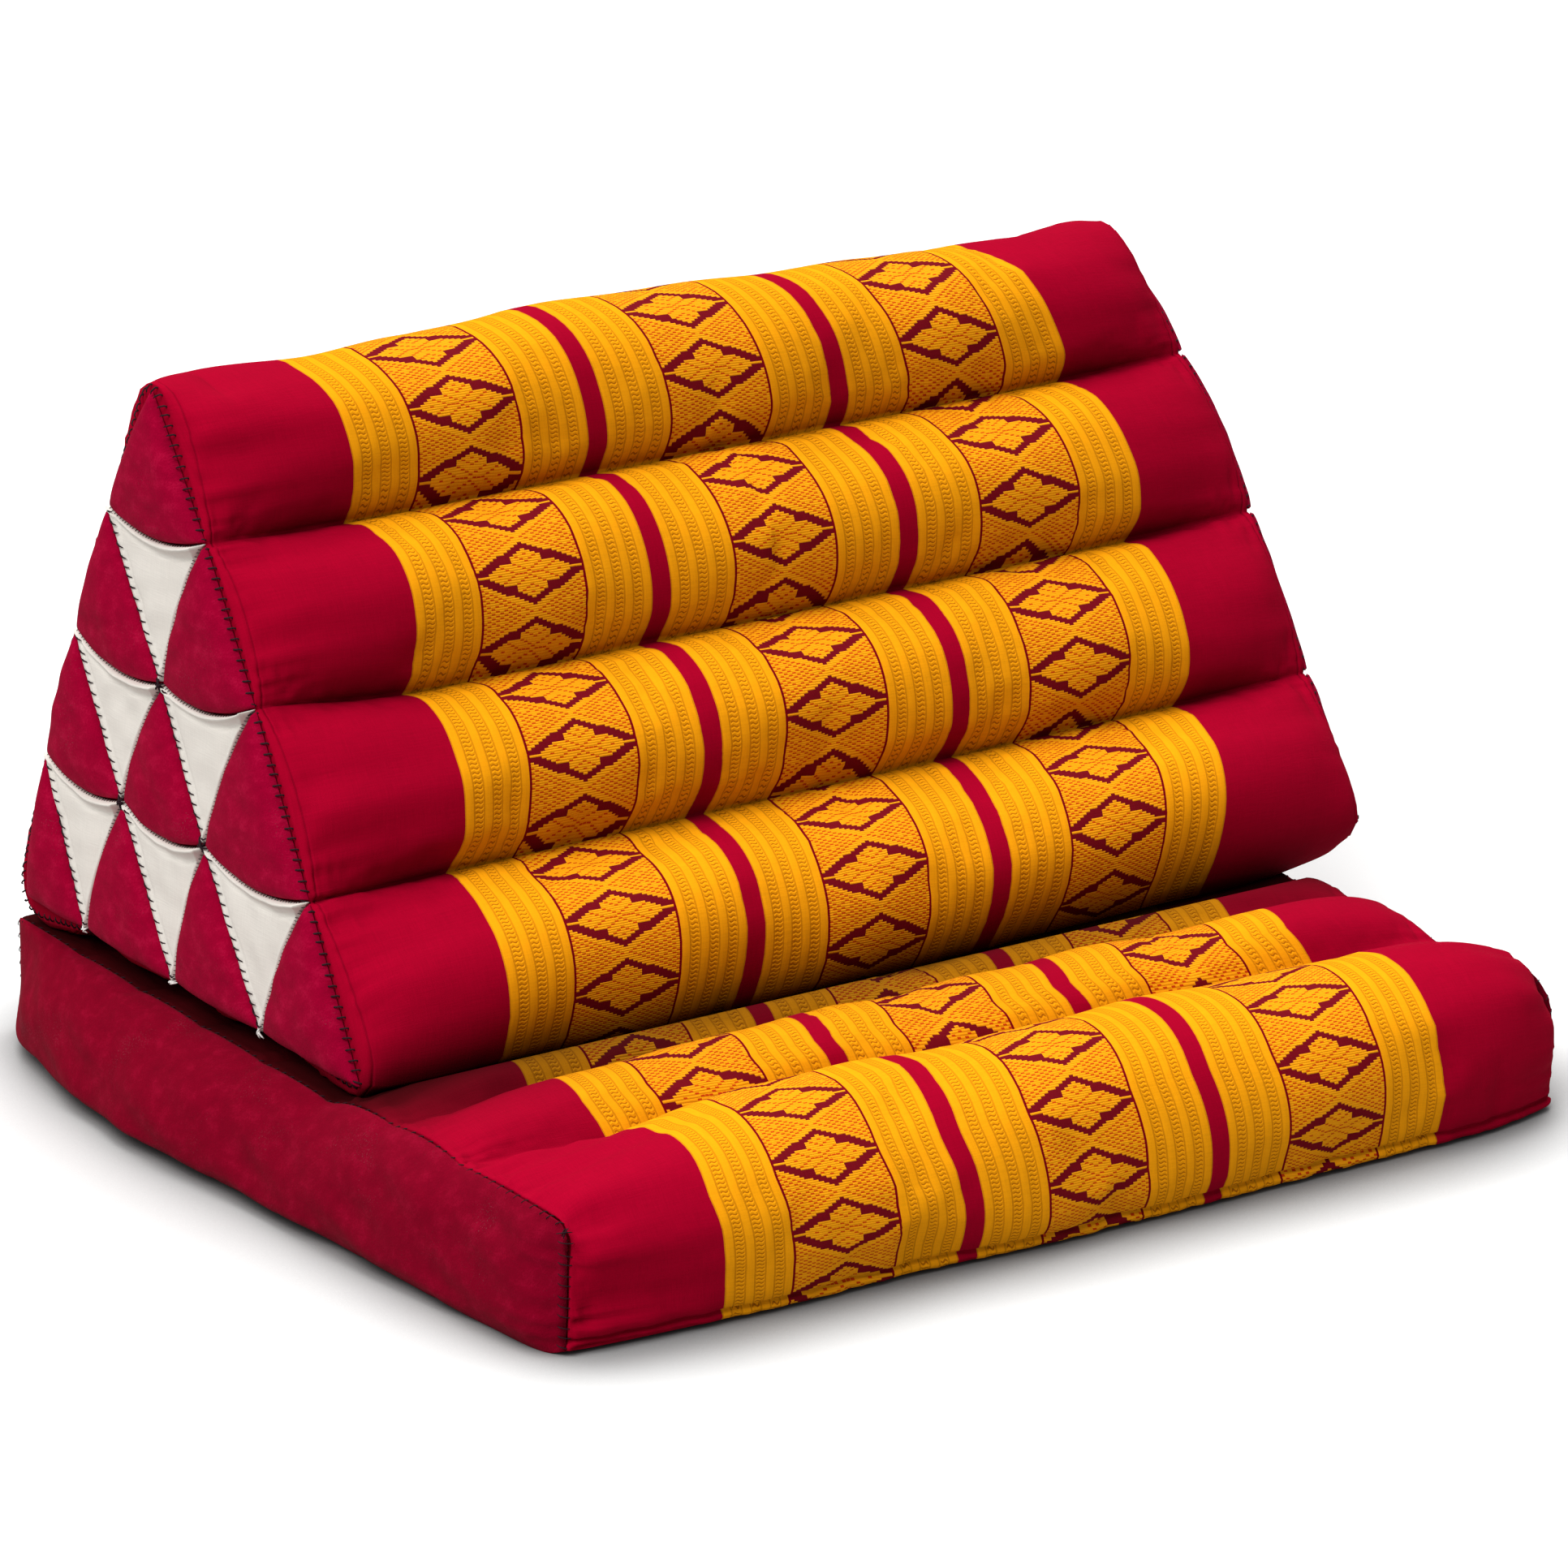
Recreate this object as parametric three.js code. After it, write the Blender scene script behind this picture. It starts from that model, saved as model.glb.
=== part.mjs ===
// A folding floor cushion: a back rest of sewn rolls, triangular at its ends, lying on the seat mat that
// folds out from under it. Millimetres, +Z up. The rolls run along X and the front faces -Y.
import * as THREE from 'three';
import { LoftGeometry } from 'three/addons/geometries/LoftGeometry.js';

const GAP = 0.3; // between pieces that touch

// The triangle that the end seams draw, and how the back rest lies on the mat.
const REST = {
	width: 500, // end to end, along the foot
	depth: 266, // front edge to back edge
	height: 242.5, // foot to apex
	apexBack: 26, // the apex stands behind the middle of the foot
	endLean: 10, // each end leans in at the apex
	rolls: 4, // to a side
	seamHeight: 57.6, // of the foot's end seams above the floor
	sink: 10, // the filled rolls press below those seams into the mat
	yaw: 1.64, // degrees, turned on the mat
};
// The stuffing has settled unevenly: the front foot hangs lower at the left, the ridge at the right.
const REST_SAG = { front: { left: 6, right: 0 }, apex: { left: 0, right: 11 } };
// Rolls swell from the end seam to their full section. Those at the corners take in both faces.
const REST_SWELL = { run: 75, endBulge: 1.5, sideBulge: 18 };
const REST_CORNERS = {
	front: { bulge: 26, round: 44, endRound: 8 },
	back: { bulge: 19, round: 44, endRound: 22 },
	apex: { bulge: 25, round: 60, endRound: 16 },
};

const MAT = {
	width: 468, // between the end seams
	back: 118, // back edge, from the middle of the back rest
	front: -306, // front edge, likewise
	endDraw: 7, // the front edge is drawn in at its corners
	shift: -20.2, // sideways from the middle of the back rest
	channels: 8,
	frontRoll: 80, // depth of the front roll, the rest are alike
	rim: 2, // height of the seam along the foot of the front and back
	cornerHeight: 56, // of the front wall's top, before rounding
};
const MAT_SWELL = { run: 60, endBulge: 2, topBulge: 15, wallBulge: 15, endRound: 10, midRound: 32 };
const MAT_VALLEY = { end: 52, mid: 51, endFoot: 0.5, foot: 6, footBulge: 11 };
// The mat gives way under the back rest, and rises in a slope where the front roll leaves it.
const MAT_PRESS = { edge: -133, slope: 0.9, groove: 6 };

// Padded pieces stand out from the flat ends of the filled bodies.
const END_INSET = 3; // the flat end lies inside the plane of the seams
const LATTICE_DRAW = { front: 1, back: 11, apex: 7 }; // its corners lie inside those of the end seam
const RED_PAD = { rim: 2.4, crown: 8.5, seam: 0.5 };
const WHITE_PAD = { rim: 1.6, crown: 1.4, seam: 0.5 };
const BOW = { outer: 0.5, red: 5.5 }; // how far a padded edge curves out of a straight seam
const PAD_RINGS = [
	{ scale: 1, lift: 0 },
	{ scale: 0.66, lift: 0.72 },
	{ scale: 0.3, lift: 1 },
];
// The end panel of the mat slumps towards the floor, and is fullest behind the middle of its length.
const MAT_END_RINGS = [
	{ inset: 1, lift: 7 },
	{ inset: 5, lift: 12 },
	{ inset: 11, lift: 14.5 },
	{ inset: 18, lift: 15.5 },
	{ inset: 25, lift: 16 },
];
const MAT_END = { inset: 1, slump: 14, peak: 0.4, corner: 0.25 }; // corner: share of the fullness there

// Distances of the sections from an end, closer where the cloth is drawn in.
const REST_STATIONS = [0, 4, 12, 26, 46, 75, 150];
const MAT_STATIONS = [0, 4, 12, 26, 60, 140];
const STEPS = { side: 8, corner: 12, channel: 6, wall: 12, foot: 4, padEdge: 5 };

const CRIMSON = 0xa3062b;
const DEEP_RED = 0x7d0724;
const OFF_WHITE = 0xe9e2d2;

const cloth = (color) => new THREE.MeshStandardMaterial({ color, roughness: 0.9, metalness: 0 });
const mix = THREE.MathUtils.lerp;
const point = (y, z) => new THREE.Vector2(y, z);
const outward = (direction) => point(direction.y, -direction.x);

function namedMesh(name, geometry, color) {
	const mesh = new THREE.Mesh(geometry, cloth(color));
	mesh.name = name;
	return mesh;
}

// Share of the full section at a distance from the end seam: a quarter of an ellipse.
function swellAt(distance, run) {
	const left = 1 - Math.min(distance / run, 1);
	return Math.sqrt(1 - left * left);
}

// One roll of a section, from a seam up to but not including the next. It runs straight, or round a
// corner, and swells outwards in a circular arc. Sections go anticlockwise with y across and z up.
function rollPoints(start, end, { bulge, steps, corner, round }) {
	const path = new THREE.Path().moveTo(start.x, start.y);
	if (corner) {
		const before = start.clone().sub(corner).setLength(round).add(corner);
		const after = end.clone().sub(corner).setLength(round).add(corner);
		path.lineTo(before.x, before.y);
		path.quadraticCurveTo(corner.x, corner.y, after.x, after.y);
	}
	path.lineTo(end.x, end.y);
	const half = path.getLength() / 2;
	const radius = (half * half + bulge * bulge) / (2 * bulge);
	return Array.from({ length: steps }, (_, i) => {
		const t = i / steps;
		const across = (2 * t - 1) * half;
		const rise = Math.sqrt(radius * radius - across * across) - (radius - bulge);
		return path.getPoint(t).addScaledVector(outward(path.getTangent(t)), rise);
	});
}

// A filled body through sections along X, closed at both ends.
function filledBody(stations, halfLength, sectionAt, placeX) {
	const fromLeft = stations.map((d) => d - halfLength);
	const along = [...fromLeft, 0, ...fromLeft.map((x) => -x).reverse()];
	const sections = along.map((x) => {
		const section = sectionAt(halfLength - Math.abs(x), x);
		return section.map((p) => new THREE.Vector3(placeX(x, p.y), p.x, p.y));
	});
	return new LoftGeometry(sections, { capStart: true, capEnd: true });
}

// Back rest

const restHalf = REST.width / 2 - END_INSET;
const restCorners = [
	point(-REST.depth / 2, 0),
	point(REST.depth / 2, 0),
	point(REST.apexBack, REST.height),
];
const cornerRolls = [REST_CORNERS.front, REST_CORNERS.back, REST_CORNERS.apex];

// The corners of the filled section, which sag below those that the seams are set out from.
function filledCorners(x) {
	const [front, back, apex] = restCorners;
	const across = x / REST.width + 0.5;
	const sagged = (corner, { left, right }) => corner.clone().sub(point(0, mix(left, right, across)));
	return [sagged(front, REST_SAG.front), back, sagged(apex, REST_SAG.apex)];
}

function restSection(distance, x) {
	const corners = filledCorners(x);
	const swell = swellAt(distance, REST_SWELL.run);
	const swelled = (bulge) => mix(REST_SWELL.endBulge, bulge, swell);
	const seam = (side, k) => restCorners[side].clone().lerp(restCorners[(side + 1) % 3], k / REST.rolls);
	const straight = { bulge: swelled(REST_SWELL.sideBulge), steps: STEPS.side };
	const points = [];
	corners.forEach((corner, side) => {
		const { bulge, round, endRound } = cornerRolls[side];
		const bent = { bulge: swelled(bulge), steps: STEPS.corner, corner, round: mix(endRound, round, swell) };
		points.push(...rollPoints(seam((side + 2) % 3, REST.rolls - 1), seam(side, 1), bent));
		for (let k = 1; k < REST.rolls - 1; k++) {
			points.push(...rollPoints(seam(side, k), seam(side, k + 1), straight));
		}
	});
	points.forEach((p) => p.setY(Math.max(p.y, -REST.sink)));
	return points;
}

const endSlope = REST.endLean / REST.height;

function backRest() {
	const leaned = (x, z) => (x / restHalf) * (restHalf - z * endSlope);
	return namedMesh('back_rest', filledBody(REST_STATIONS, restHalf, restSection, leaned), CRIMSON);
}

// Pieced ends

const middleOf = (corners) => corners[0].clone().add(corners[1]).add(corners[2]).divideScalar(3);
const latticeDraw = [LATTICE_DRAW.front, LATTICE_DRAW.back, LATTICE_DRAW.apex];

// Node of an end's lattice: row 0 is the apex, column 0 lies along the back edge.
function latticeNode(side, row, column) {
	const filled = filledCorners(side === 'left' ? -restHalf : restHalf);
	const [front, back, apex] = filled.map((corner, i) => {
		const inwards = middleOf(restCorners).sub(corner);
		return corner.clone().add(inwards.setLength(latticeDraw[i]));
	});
	if (row === 0) return apex;
	if (row === REST.rolls && column === 0) return back;
	if (row === REST.rolls && column === row) return front;
	const down = row / REST.rolls;
	const [seamFront, seamBack, seamApex] = restCorners;
	const alongBack = seamApex.clone().lerp(seamBack, down);
	return alongBack.lerp(seamApex.clone().lerp(seamFront, down), column / row);
}

// A small padded triangle on the end's plane, its edges bowed out (or in, if negative) between corners
// given anticlockwise, with a flat back and a crowned face towards +X.
function paddedTriangle(corners, bows, pad) {
	const outline = corners.flatMap((corner, i) => {
		const next = corners[(i + 1) % 3];
		const normal = outward(next.clone().sub(corner).normalize());
		return Array.from({ length: STEPS.padEdge }, (_, k) => {
			const t = k / STEPS.padEdge;
			return corner.clone().lerp(next, t).addScaledVector(normal, bows[i] * 4 * t * (1 - t));
		});
	});
	const middle = middleOf(corners);
	const side = corners[0].distanceTo(corners[1]);
	const trim = 1 - (pad.seam * 2 * Math.sqrt(3)) / side;
	const ring = (scale, x) =>
		outline.map((p) => {
			const q = p.clone().sub(middle).multiplyScalar(scale * trim).add(middle);
			return new THREE.Vector3(x, q.x, q.y);
		});
	const face = PAD_RINGS.map(({ scale, lift }) => ring(scale, pad.rim + pad.crown * lift));
	return new LoftGeometry([ring(1, 0), ...face], { capStart: true, capEnd: true });
}

function piecedEnd(side) {
	const end = new THREE.Group();
	const add = (kind, row, column, corners, bows) => {
		const red = kind === 'red';
		const geometry = paddedTriangle(corners, bows, red ? RED_PAD : WHITE_PAD);
		end.add(namedMesh(`${side}_${kind}_${row}_${column}`, geometry, red ? DEEP_RED : OFF_WHITE));
	};
	for (let row = 1; row <= REST.rolls; row++) {
		for (let column = 0; column < row; column++) {
			const apex = latticeNode(side, row - 1, column);
			const back = latticeNode(side, row, column);
			const front = latticeNode(side, row, column + 1);
			const footBow = row === REST.rolls ? BOW.outer : BOW.red;
			const backBow = column === 0 ? BOW.outer : BOW.red;
			const frontBow = column === row - 1 ? BOW.outer : 0;
			add('red', row, column, [front, back, apex], [footBow, backBow, frontBow]);
			if (column < row - 1) {
				const topFront = latticeNode(side, row - 1, column + 1);
				add('white', row, column, [front, apex, topFront], [0, -BOW.red, -BOW.red]);
			}
		}
	}
	end.position.x = restHalf + GAP;
	end.rotation.y = -Math.atan(endSlope);
	const placed = new THREE.Group();
	placed.add(end);
	placed.scale.x = side === 'left' ? -1 : 1;
	return placed;
}

// Seat mat

const matHalf = MAT.width / 2 - END_INSET;
const matPitch = (MAT.back - MAT.front - MAT.frontRoll) / (MAT.channels - 1);
const pressedTop = REST.seamHeight - REST.sink - GAP;

function matSection(distance) {
	const swell = swellAt(distance, MAT_SWELL.run);
	const front = MAT.front + MAT.endDraw * (1 - swell);
	const valley = mix(MAT_VALLEY.end, MAT_VALLEY.mid, swell);
	const wall = {
		bulge: mix(MAT_SWELL.endBulge, MAT_SWELL.wallBulge, swell),
		steps: STEPS.wall,
		round: mix(MAT_SWELL.endRound, MAT_SWELL.midRound, swell),
	};
	const channel = { bulge: mix(MAT_SWELL.endBulge, MAT_SWELL.topBulge, swell), steps: STEPS.channel };
	const foot = { bulge: MAT_VALLEY.footBulge, steps: STEPS.foot };
	const seamY = (k) => MAT.back - k * matPitch; // k counts from the back edge
	const last = MAT.channels - 1;
	const ceiling = (y) => pressedTop + Math.max(0, MAT_PRESS.edge - y) * MAT_PRESS.slope;
	const topSeam = (k) => point(seamY(k), Math.min(valley, ceiling(seamY(k)) - MAT_PRESS.groove));
	const footSeam = (k) => point(seamY(k), mix(MAT_VALLEY.endFoot, MAT_VALLEY.foot, swell));
	const frontRim = point(front, MAT.rim);
	const backRim = point(MAT.back, MAT.rim);
	const points = rollPoints(frontRim, footSeam(last), foot);
	for (let k = last; k > 1; k--) points.push(...rollPoints(footSeam(k), footSeam(k - 1), foot));
	points.push(...rollPoints(footSeam(1), backRim, foot));
	points.push(...rollPoints(backRim, topSeam(1), { ...wall, corner: point(MAT.back, valley) }));
	for (let k = 1; k < last; k++) points.push(...rollPoints(topSeam(k), topSeam(k + 1), channel));
	const frontTop = point(front, mix(valley, MAT.cornerHeight, swell));
	points.push(...rollPoints(topSeam(last), frontRim, { ...wall, corner: frontTop }));
	points.forEach((p) => p.setY(THREE.MathUtils.clamp(p.y, 0, ceiling(p.x))));
	return points;
}

// The padded panel across an end of the mat, standing out along +X from a flat back.
function matEnd(side) {
	const outline = matSection(0);
	const box = new THREE.Box2().setFromPoints(outline);
	const middle = box.getCenter(point(0, 0));
	const half = box.getSize(point(0, 0)).divideScalar(2);
	const ring = (inset, fullness) =>
		outline.map((p) => {
			const along = ((p.x - middle.x) / half.x) * (1 - inset / half.x);
			const up = ((p.y - middle.y) / half.y) * (1 - inset / half.y);
			return new THREE.Vector3(fullness(along, up), middle.x + along * half.x, middle.y + up * half.y);
		});
	const face = MAT_END_RINGS.map(({ inset, lift }) =>
		ring(inset, (along, up) => {
			const slump = (MAT_END.slump * (1 - up)) / 2;
			const reach = along > MAT_END.peak ? 1 - MAT_END.peak : 1 + MAT_END.peak;
			const fromPeak = (along - MAT_END.peak) / reach;
			return (lift + slump) * mix(1, MAT_END.corner, fromPeak * fromPeak);
		}),
	);
	const rings = [ring(MAT_END.inset, () => 0), ...face];
	const geometry = new LoftGeometry(rings, { capStart: true, capEnd: true });
	const panel = namedMesh(`mat_${side}_end`, geometry, DEEP_RED);
	panel.position.x = matHalf + GAP;
	const placed = new THREE.Group();
	placed.add(panel);
	placed.scale.x = side === 'left' ? -1 : 1;
	return placed;
}

// Assembly

const rest = new THREE.Group();
rest.add(backRest(), piecedEnd('left'), piecedEnd('right'));
rest.position.z = REST.seamHeight;
rest.rotation.z = THREE.MathUtils.degToRad(REST.yaw);

const mat = new THREE.Group();
const matBody = filledBody(MAT_STATIONS, matHalf, matSection, (x) => x);
mat.add(namedMesh('seat_mat', matBody, CRIMSON), matEnd('left'), matEnd('right'));
mat.position.x = MAT.shift;

const cushion = new THREE.Group();
cushion.add(rest, mat);
const box = new THREE.Box3().setFromObject(cushion, true);
const middle = box.getCenter(new THREE.Vector3());
cushion.position.set(-middle.x, -middle.y, -box.min.z);

export default cushion;
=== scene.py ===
import math
import bpy
import numpy as np
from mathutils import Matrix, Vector
from mathutils.bvhtree import BVHTree


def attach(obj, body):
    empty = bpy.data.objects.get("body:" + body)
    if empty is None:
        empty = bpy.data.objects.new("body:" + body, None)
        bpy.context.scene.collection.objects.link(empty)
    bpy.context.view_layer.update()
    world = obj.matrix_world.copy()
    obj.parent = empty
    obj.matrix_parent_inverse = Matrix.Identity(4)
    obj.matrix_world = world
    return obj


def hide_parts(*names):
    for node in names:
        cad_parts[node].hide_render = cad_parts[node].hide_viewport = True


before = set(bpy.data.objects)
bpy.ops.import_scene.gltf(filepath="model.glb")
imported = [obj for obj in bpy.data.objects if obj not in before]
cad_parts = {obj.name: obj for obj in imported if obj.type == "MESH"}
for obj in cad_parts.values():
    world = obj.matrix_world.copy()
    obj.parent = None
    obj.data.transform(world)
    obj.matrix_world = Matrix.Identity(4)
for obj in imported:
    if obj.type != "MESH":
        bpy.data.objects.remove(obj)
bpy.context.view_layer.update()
rowShift = np.array((0.008292, 0.086507, 0))  # the foot's middle under the back rest, in the frame
gap = 0.0003  # between pieces that touch


view = {"azimuth": -33.55, "elevation": 18.84, "distance": 3.2414, "target": (-0.009, -0.079, 0.115),
        "lens": 185.33, "sensor": 36}

azimuth, elevation = math.radians(view["azimuth"]), math.radians(view["elevation"])
backwards = Vector((math.sin(azimuth) * math.cos(elevation), -math.cos(azimuth) * math.cos(elevation),
                    math.sin(elevation)))
cameraData = bpy.data.cameras.new("camera")
cameraData.lens, cameraData.sensor_width = view["lens"], view["sensor"]
cameraData.clip_end = 40
camera = bpy.data.objects.new("camera", cameraData)
camera.location = Vector(view["target"]) + Vector(rowShift) + backwards * view["distance"]
camera.rotation_euler = backwards.to_track_quat("Z", "Y").to_euler()
bpy.context.scene.collection.objects.link(camera)
bpy.context.scene.camera = camera


def mix(a, b, t):
    return a + (b - a) * t


def smooth(low, high, value):
    t = np.clip((value - low) / (high - low), 0, 1)
    return t * t * (3 - 2 * t)


def unit(vectors):
    return vectors / np.maximum(np.linalg.norm(vectors, axis=-1, keepdims=True), 1e-12)


def runAlong(line):  # the length of a line up to each of its points
    return np.concatenate([[0], np.cumsum(np.linalg.norm(np.diff(line, axis=0), axis=1))])


def alongLine(line, places):
    run = runAlong(line)
    return np.stack([np.interp(places, run, line[:, k]) for k in range(line.shape[1])], -1)


def tableAt(table, place):  # a table in millimetres, read in metres
    places, values = np.array(table).T
    return np.interp(np.asarray(place) * 1000, places, values) / 1000


def makePiece(name, points, faces, material, **layers):  # layers are maps over the cloth, most in millimetres
    mesh = bpy.data.meshes.new(name)
    mesh.from_pydata(points.tolist(), [], faces)
    for label, uvs in layers.items():
        layer = mesh.uv_layers.new(name=label)
        layer.data.foreach_set("uv", np.asarray(uvs, np.float32).ravel())
    mesh.polygons.foreach_set("use_smooth", np.ones(len(mesh.polygons), bool))
    mesh.materials.append(material)
    mesh.validate()
    mesh.update()
    piece = bpy.data.objects.new(name, mesh)
    bpy.context.scene.collection.objects.link(piece)
    return piece


def gridQuads(rows, columns, wrap):
    i, j = np.meshgrid(np.arange(rows if wrap else rows - 1), np.arange(columns - 1), indexing="ij")
    below = (i + 1) % rows
    quads = np.stack([i * columns + j, below * columns + j, below * columns + j + 1, i * columns + j + 1], -1)
    return quads.reshape(-1, 4)


def gridNormals(points):  # of a grid that closes around
    around = np.roll(points, -1, 0) - np.roll(points, 1, 0)
    return unit(np.cross(around, np.gradient(points, axis=1)))


def sewnSpread(count, pull=0.6):  # closer together at the seams, where the cloth turns sharply
    s = np.arange(count) / count
    return s - pull * np.sin(2 * np.pi * s) / (2 * np.pi)


hem = {"inside": 0.0034, "width": 0.0005, "depth": 0.0004, "lip": 0.0003}  # the crease along an end seam


stations = {"first": (0, 0.0003, 0.0007, 0.0012, 0.0018, 0.0024, 0.0029, 0.0033, 0.0036, 0.0038, 0.0040, 0.0043, 0.0047,
                      0.0053, 0.0060),
            "fine": 0.0009, "coarse": 0.005, "fineRun": 0.014, "growth": 0.09}


def stationsAlong(half):  # closest at the ends and at the hem crease
    steps, fine = list(stations["first"]), stations["fine"]
    while steps[-1] < half:
        grown = fine + (steps[-1] - stations["fineRun"]) * stations["growth"]
        steps.append(steps[-1] + min(max(fine, grown), stations["coarse"]))
    steps[-1] = half
    steps = np.array(steps)
    return np.concatenate([steps - half, (half - steps[:-1])[::-1]])


def swellAt(distance, run):
    left = 1 - min(max(distance, 0) / run, 1)
    return math.sqrt(1 - left * left)


def rollArc(start, end, bulge, spread, corner=None, roundBy=0):
    start, end = np.array(start, float), np.array(end, float)
    if corner is None:
        path = np.linspace(start, end, 48)
    else:
        corner = np.array(corner, float)
        before = corner + (start - corner) / np.linalg.norm(start - corner) * roundBy
        after = corner + (end - corner) / np.linalg.norm(end - corner) * roundBy
        t = np.linspace(0, 1, 96)[:, None]
        bend = (1 - t) ** 2 * before + 2 * t * (1 - t) * corner + t * t * after
        path = np.concatenate([np.linspace(start, before, 40)[:-1], bend, np.linspace(after, end, 40)[1:]])
    length = runAlong(path)[-1]
    half, place, nudge = length / 2, spread * length, length * 1e-3
    tangent = unit(alongLine(path, np.minimum(place + nudge, length)) - alongLine(path, np.maximum(place - nudge, 0)))
    radius = (half * half + bulge * bulge) / (2 * bulge)
    rise = np.sqrt(np.maximum(radius ** 2 - ((2 * spread - 1) * half) ** 2, 0)) - (radius - bulge)
    return alongLine(path, place) + np.stack([tangent[:, 1], -tangent[:, 0]], 1) * rise[:, None]


def addNode(tree, kind, **settings):
    node = tree.nodes.new(kind)
    for key, value in settings.items():
        setattr(node, key, value)
    return node


def feed(tree, socket, value):
    if isinstance(value, bpy.types.NodeSocket):
        tree.links.new(value, socket)
    else:
        socket.default_value = value


def calc(tree, operation, *values):
    node = addNode(tree, "ShaderNodeMath", operation=operation)
    for socket, value in zip(node.inputs, values):
        feed(tree, socket, value)
    return node.outputs[0]


def blendColour(tree, a, b, factor, how="MIX"):
    node = addNode(tree, "ShaderNodeMix", data_type="RGBA", blend_type=how)
    feed(tree, node.inputs[0], factor)
    feed(tree, node.inputs[6], a)
    feed(tree, node.inputs[7], b)
    return node.outputs[2]


def grey(tree, value):
    parts = addNode(tree, "ShaderNodeCombineColor")
    for socket in parts.inputs:
        feed(tree, socket, value)
    return parts.outputs[0]


def mapParts(tree, label):  # the numbers of one of a piece's maps
    parts = addNode(tree, "ShaderNodeSeparateXYZ")
    feed(tree, parts.inputs[0], addNode(tree, "ShaderNodeUVMap", uv_map=label).outputs[0])
    return parts.outputs


def noiseAt(tree, cloth, scaleU, scaleV, detail=2.0, roughness=0.5):
    stretch = addNode(tree, "ShaderNodeVectorMath", operation="MULTIPLY")
    feed(tree, stretch.inputs[0], cloth)
    stretch.inputs[1].default_value = (scaleU, scaleV, 1)
    noise = addNode(tree, "ShaderNodeTexNoise", noise_dimensions="2D")
    tree.links.new(stretch.outputs[0], noise.inputs["Vector"])
    noise.inputs["Scale"].default_value = 1
    noise.inputs["Detail"].default_value = detail
    noise.inputs["Roughness"].default_value = roughness
    return noise.outputs[0]


def shadedRange(tree, value, low, high, newLow, newHigh):
    node = addNode(tree, "ShaderNodeMapRange", clamp=True)
    for socket, number in zip(node.inputs, (value, low, high, newLow, newHigh)):
        feed(tree, socket, number)
    return node.outputs[0]


def shaderGroup(name, inputs, outputs):
    group = bpy.data.node_groups.new(name, "ShaderNodeTree")
    for label, kind, value in inputs:
        socket = group.interface.new_socket(label, in_out="INPUT", socket_type=kind)
        if value is not None:
            socket.default_value = value
    for label, kind in outputs:
        group.interface.new_socket(label, in_out="OUTPUT", socket_type=kind)
    return group, addNode(group, "NodeGroupInput").outputs, addNode(group, "NodeGroupOutput").inputs


def placeGroup(tree, group, **values):
    node = addNode(tree, "ShaderNodeGroup", node_tree=group)
    for label, value in values.items():
        feed(tree, node.inputs[label], value)
    return node.outputs


def colour(red, green, blue):  # from the 0 to 255 that a picture shows to the light it stands for
    parts = [c / 255 for c in (red, green, blue)]
    return (*[c / 12.92 if c <= 0.04045 else ((c + 0.055) / 1.055) ** 2.4 for c in parts], 1)


# plain cotton: two sets of threads, thick and thin places, and a little mottling
cottonGroup, cottonIn, cottonOut = shaderGroup(
    "cottonThreads",
    [("Cloth", "NodeSocketVector", None), ("Contrast", "NodeSocketFloat", 1.0)],
    [("Shade", "NodeSocketFloat"), ("Height", "NodeSocketFloat")])
warpSlubs = noiseAt(cottonGroup, cottonIn["Cloth"], 1.7, 0.10, 1)
weftSlubs = noiseAt(cottonGroup, cottonIn["Cloth"], 0.10, 1.7, 1)
mottle = noiseAt(cottonGroup, cottonIn["Cloth"], 0.035, 0.035, 3, 0.6)
slubs = calc(cottonGroup, "ADD", warpSlubs, weftSlubs)
uneven = calc(cottonGroup, "ADD", calc(cottonGroup, "MULTIPLY", slubs, 0.30), calc(cottonGroup, "MULTIPLY", mottle, 0.22))
spread = calc(cottonGroup, "MULTIPLY", calc(cottonGroup, "SUBTRACT", uneven, 0.41), cottonIn["Contrast"])
feed(cottonGroup, cottonOut["Shade"], calc(cottonGroup, "ADD", spread, 1.0))
separate = addNode(cottonGroup, "ShaderNodeSeparateXYZ")
feed(cottonGroup, separate.inputs[0], cottonIn["Cloth"])
threads = calc(cottonGroup, "MULTIPLY", calc(cottonGroup, "SINE", calc(cottonGroup, "MULTIPLY", separate.outputs[0], 12.0)),
               calc(cottonGroup, "SINE", calc(cottonGroup, "MULTIPLY", separate.outputs[1], 12.0)))
feed(cottonGroup, cottonOut["Height"], calc(cottonGroup, "MULTIPLY_ADD", threads, 0.25, slubs))

# lint caught on brushed cloth
lintGroup, lintIn, lintOut = shaderGroup(
    "lintSpecks",
    [("Cloth", "NodeSocketVector", None), ("Amount", "NodeSocketFloat", 0.5)],
    [("Mask", "NodeSocketFloat")])
lintFine = noiseAt(lintGroup, lintIn["Cloth"], 1.3, 1.0, 4, 0.75)
lintPlace = noiseAt(lintGroup, lintIn["Cloth"], 0.03, 0.04, 2)
lintSum = calc(lintGroup, "ADD", lintFine, calc(lintGroup, "MULTIPLY", lintPlace, 0.5))
lintLevel = calc(lintGroup, "MULTIPLY_ADD", lintIn["Amount"], -0.16, 1.02)
lintMask = calc(lintGroup, "MULTIPLY", calc(lintGroup, "SUBTRACT", lintSum, lintLevel), 7.0)
feed(lintGroup, lintOut["Mask"], calc(lintGroup, "MINIMUM", calc(lintGroup, "MAXIMUM", lintMask, 0.0), 1.0))

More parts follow.
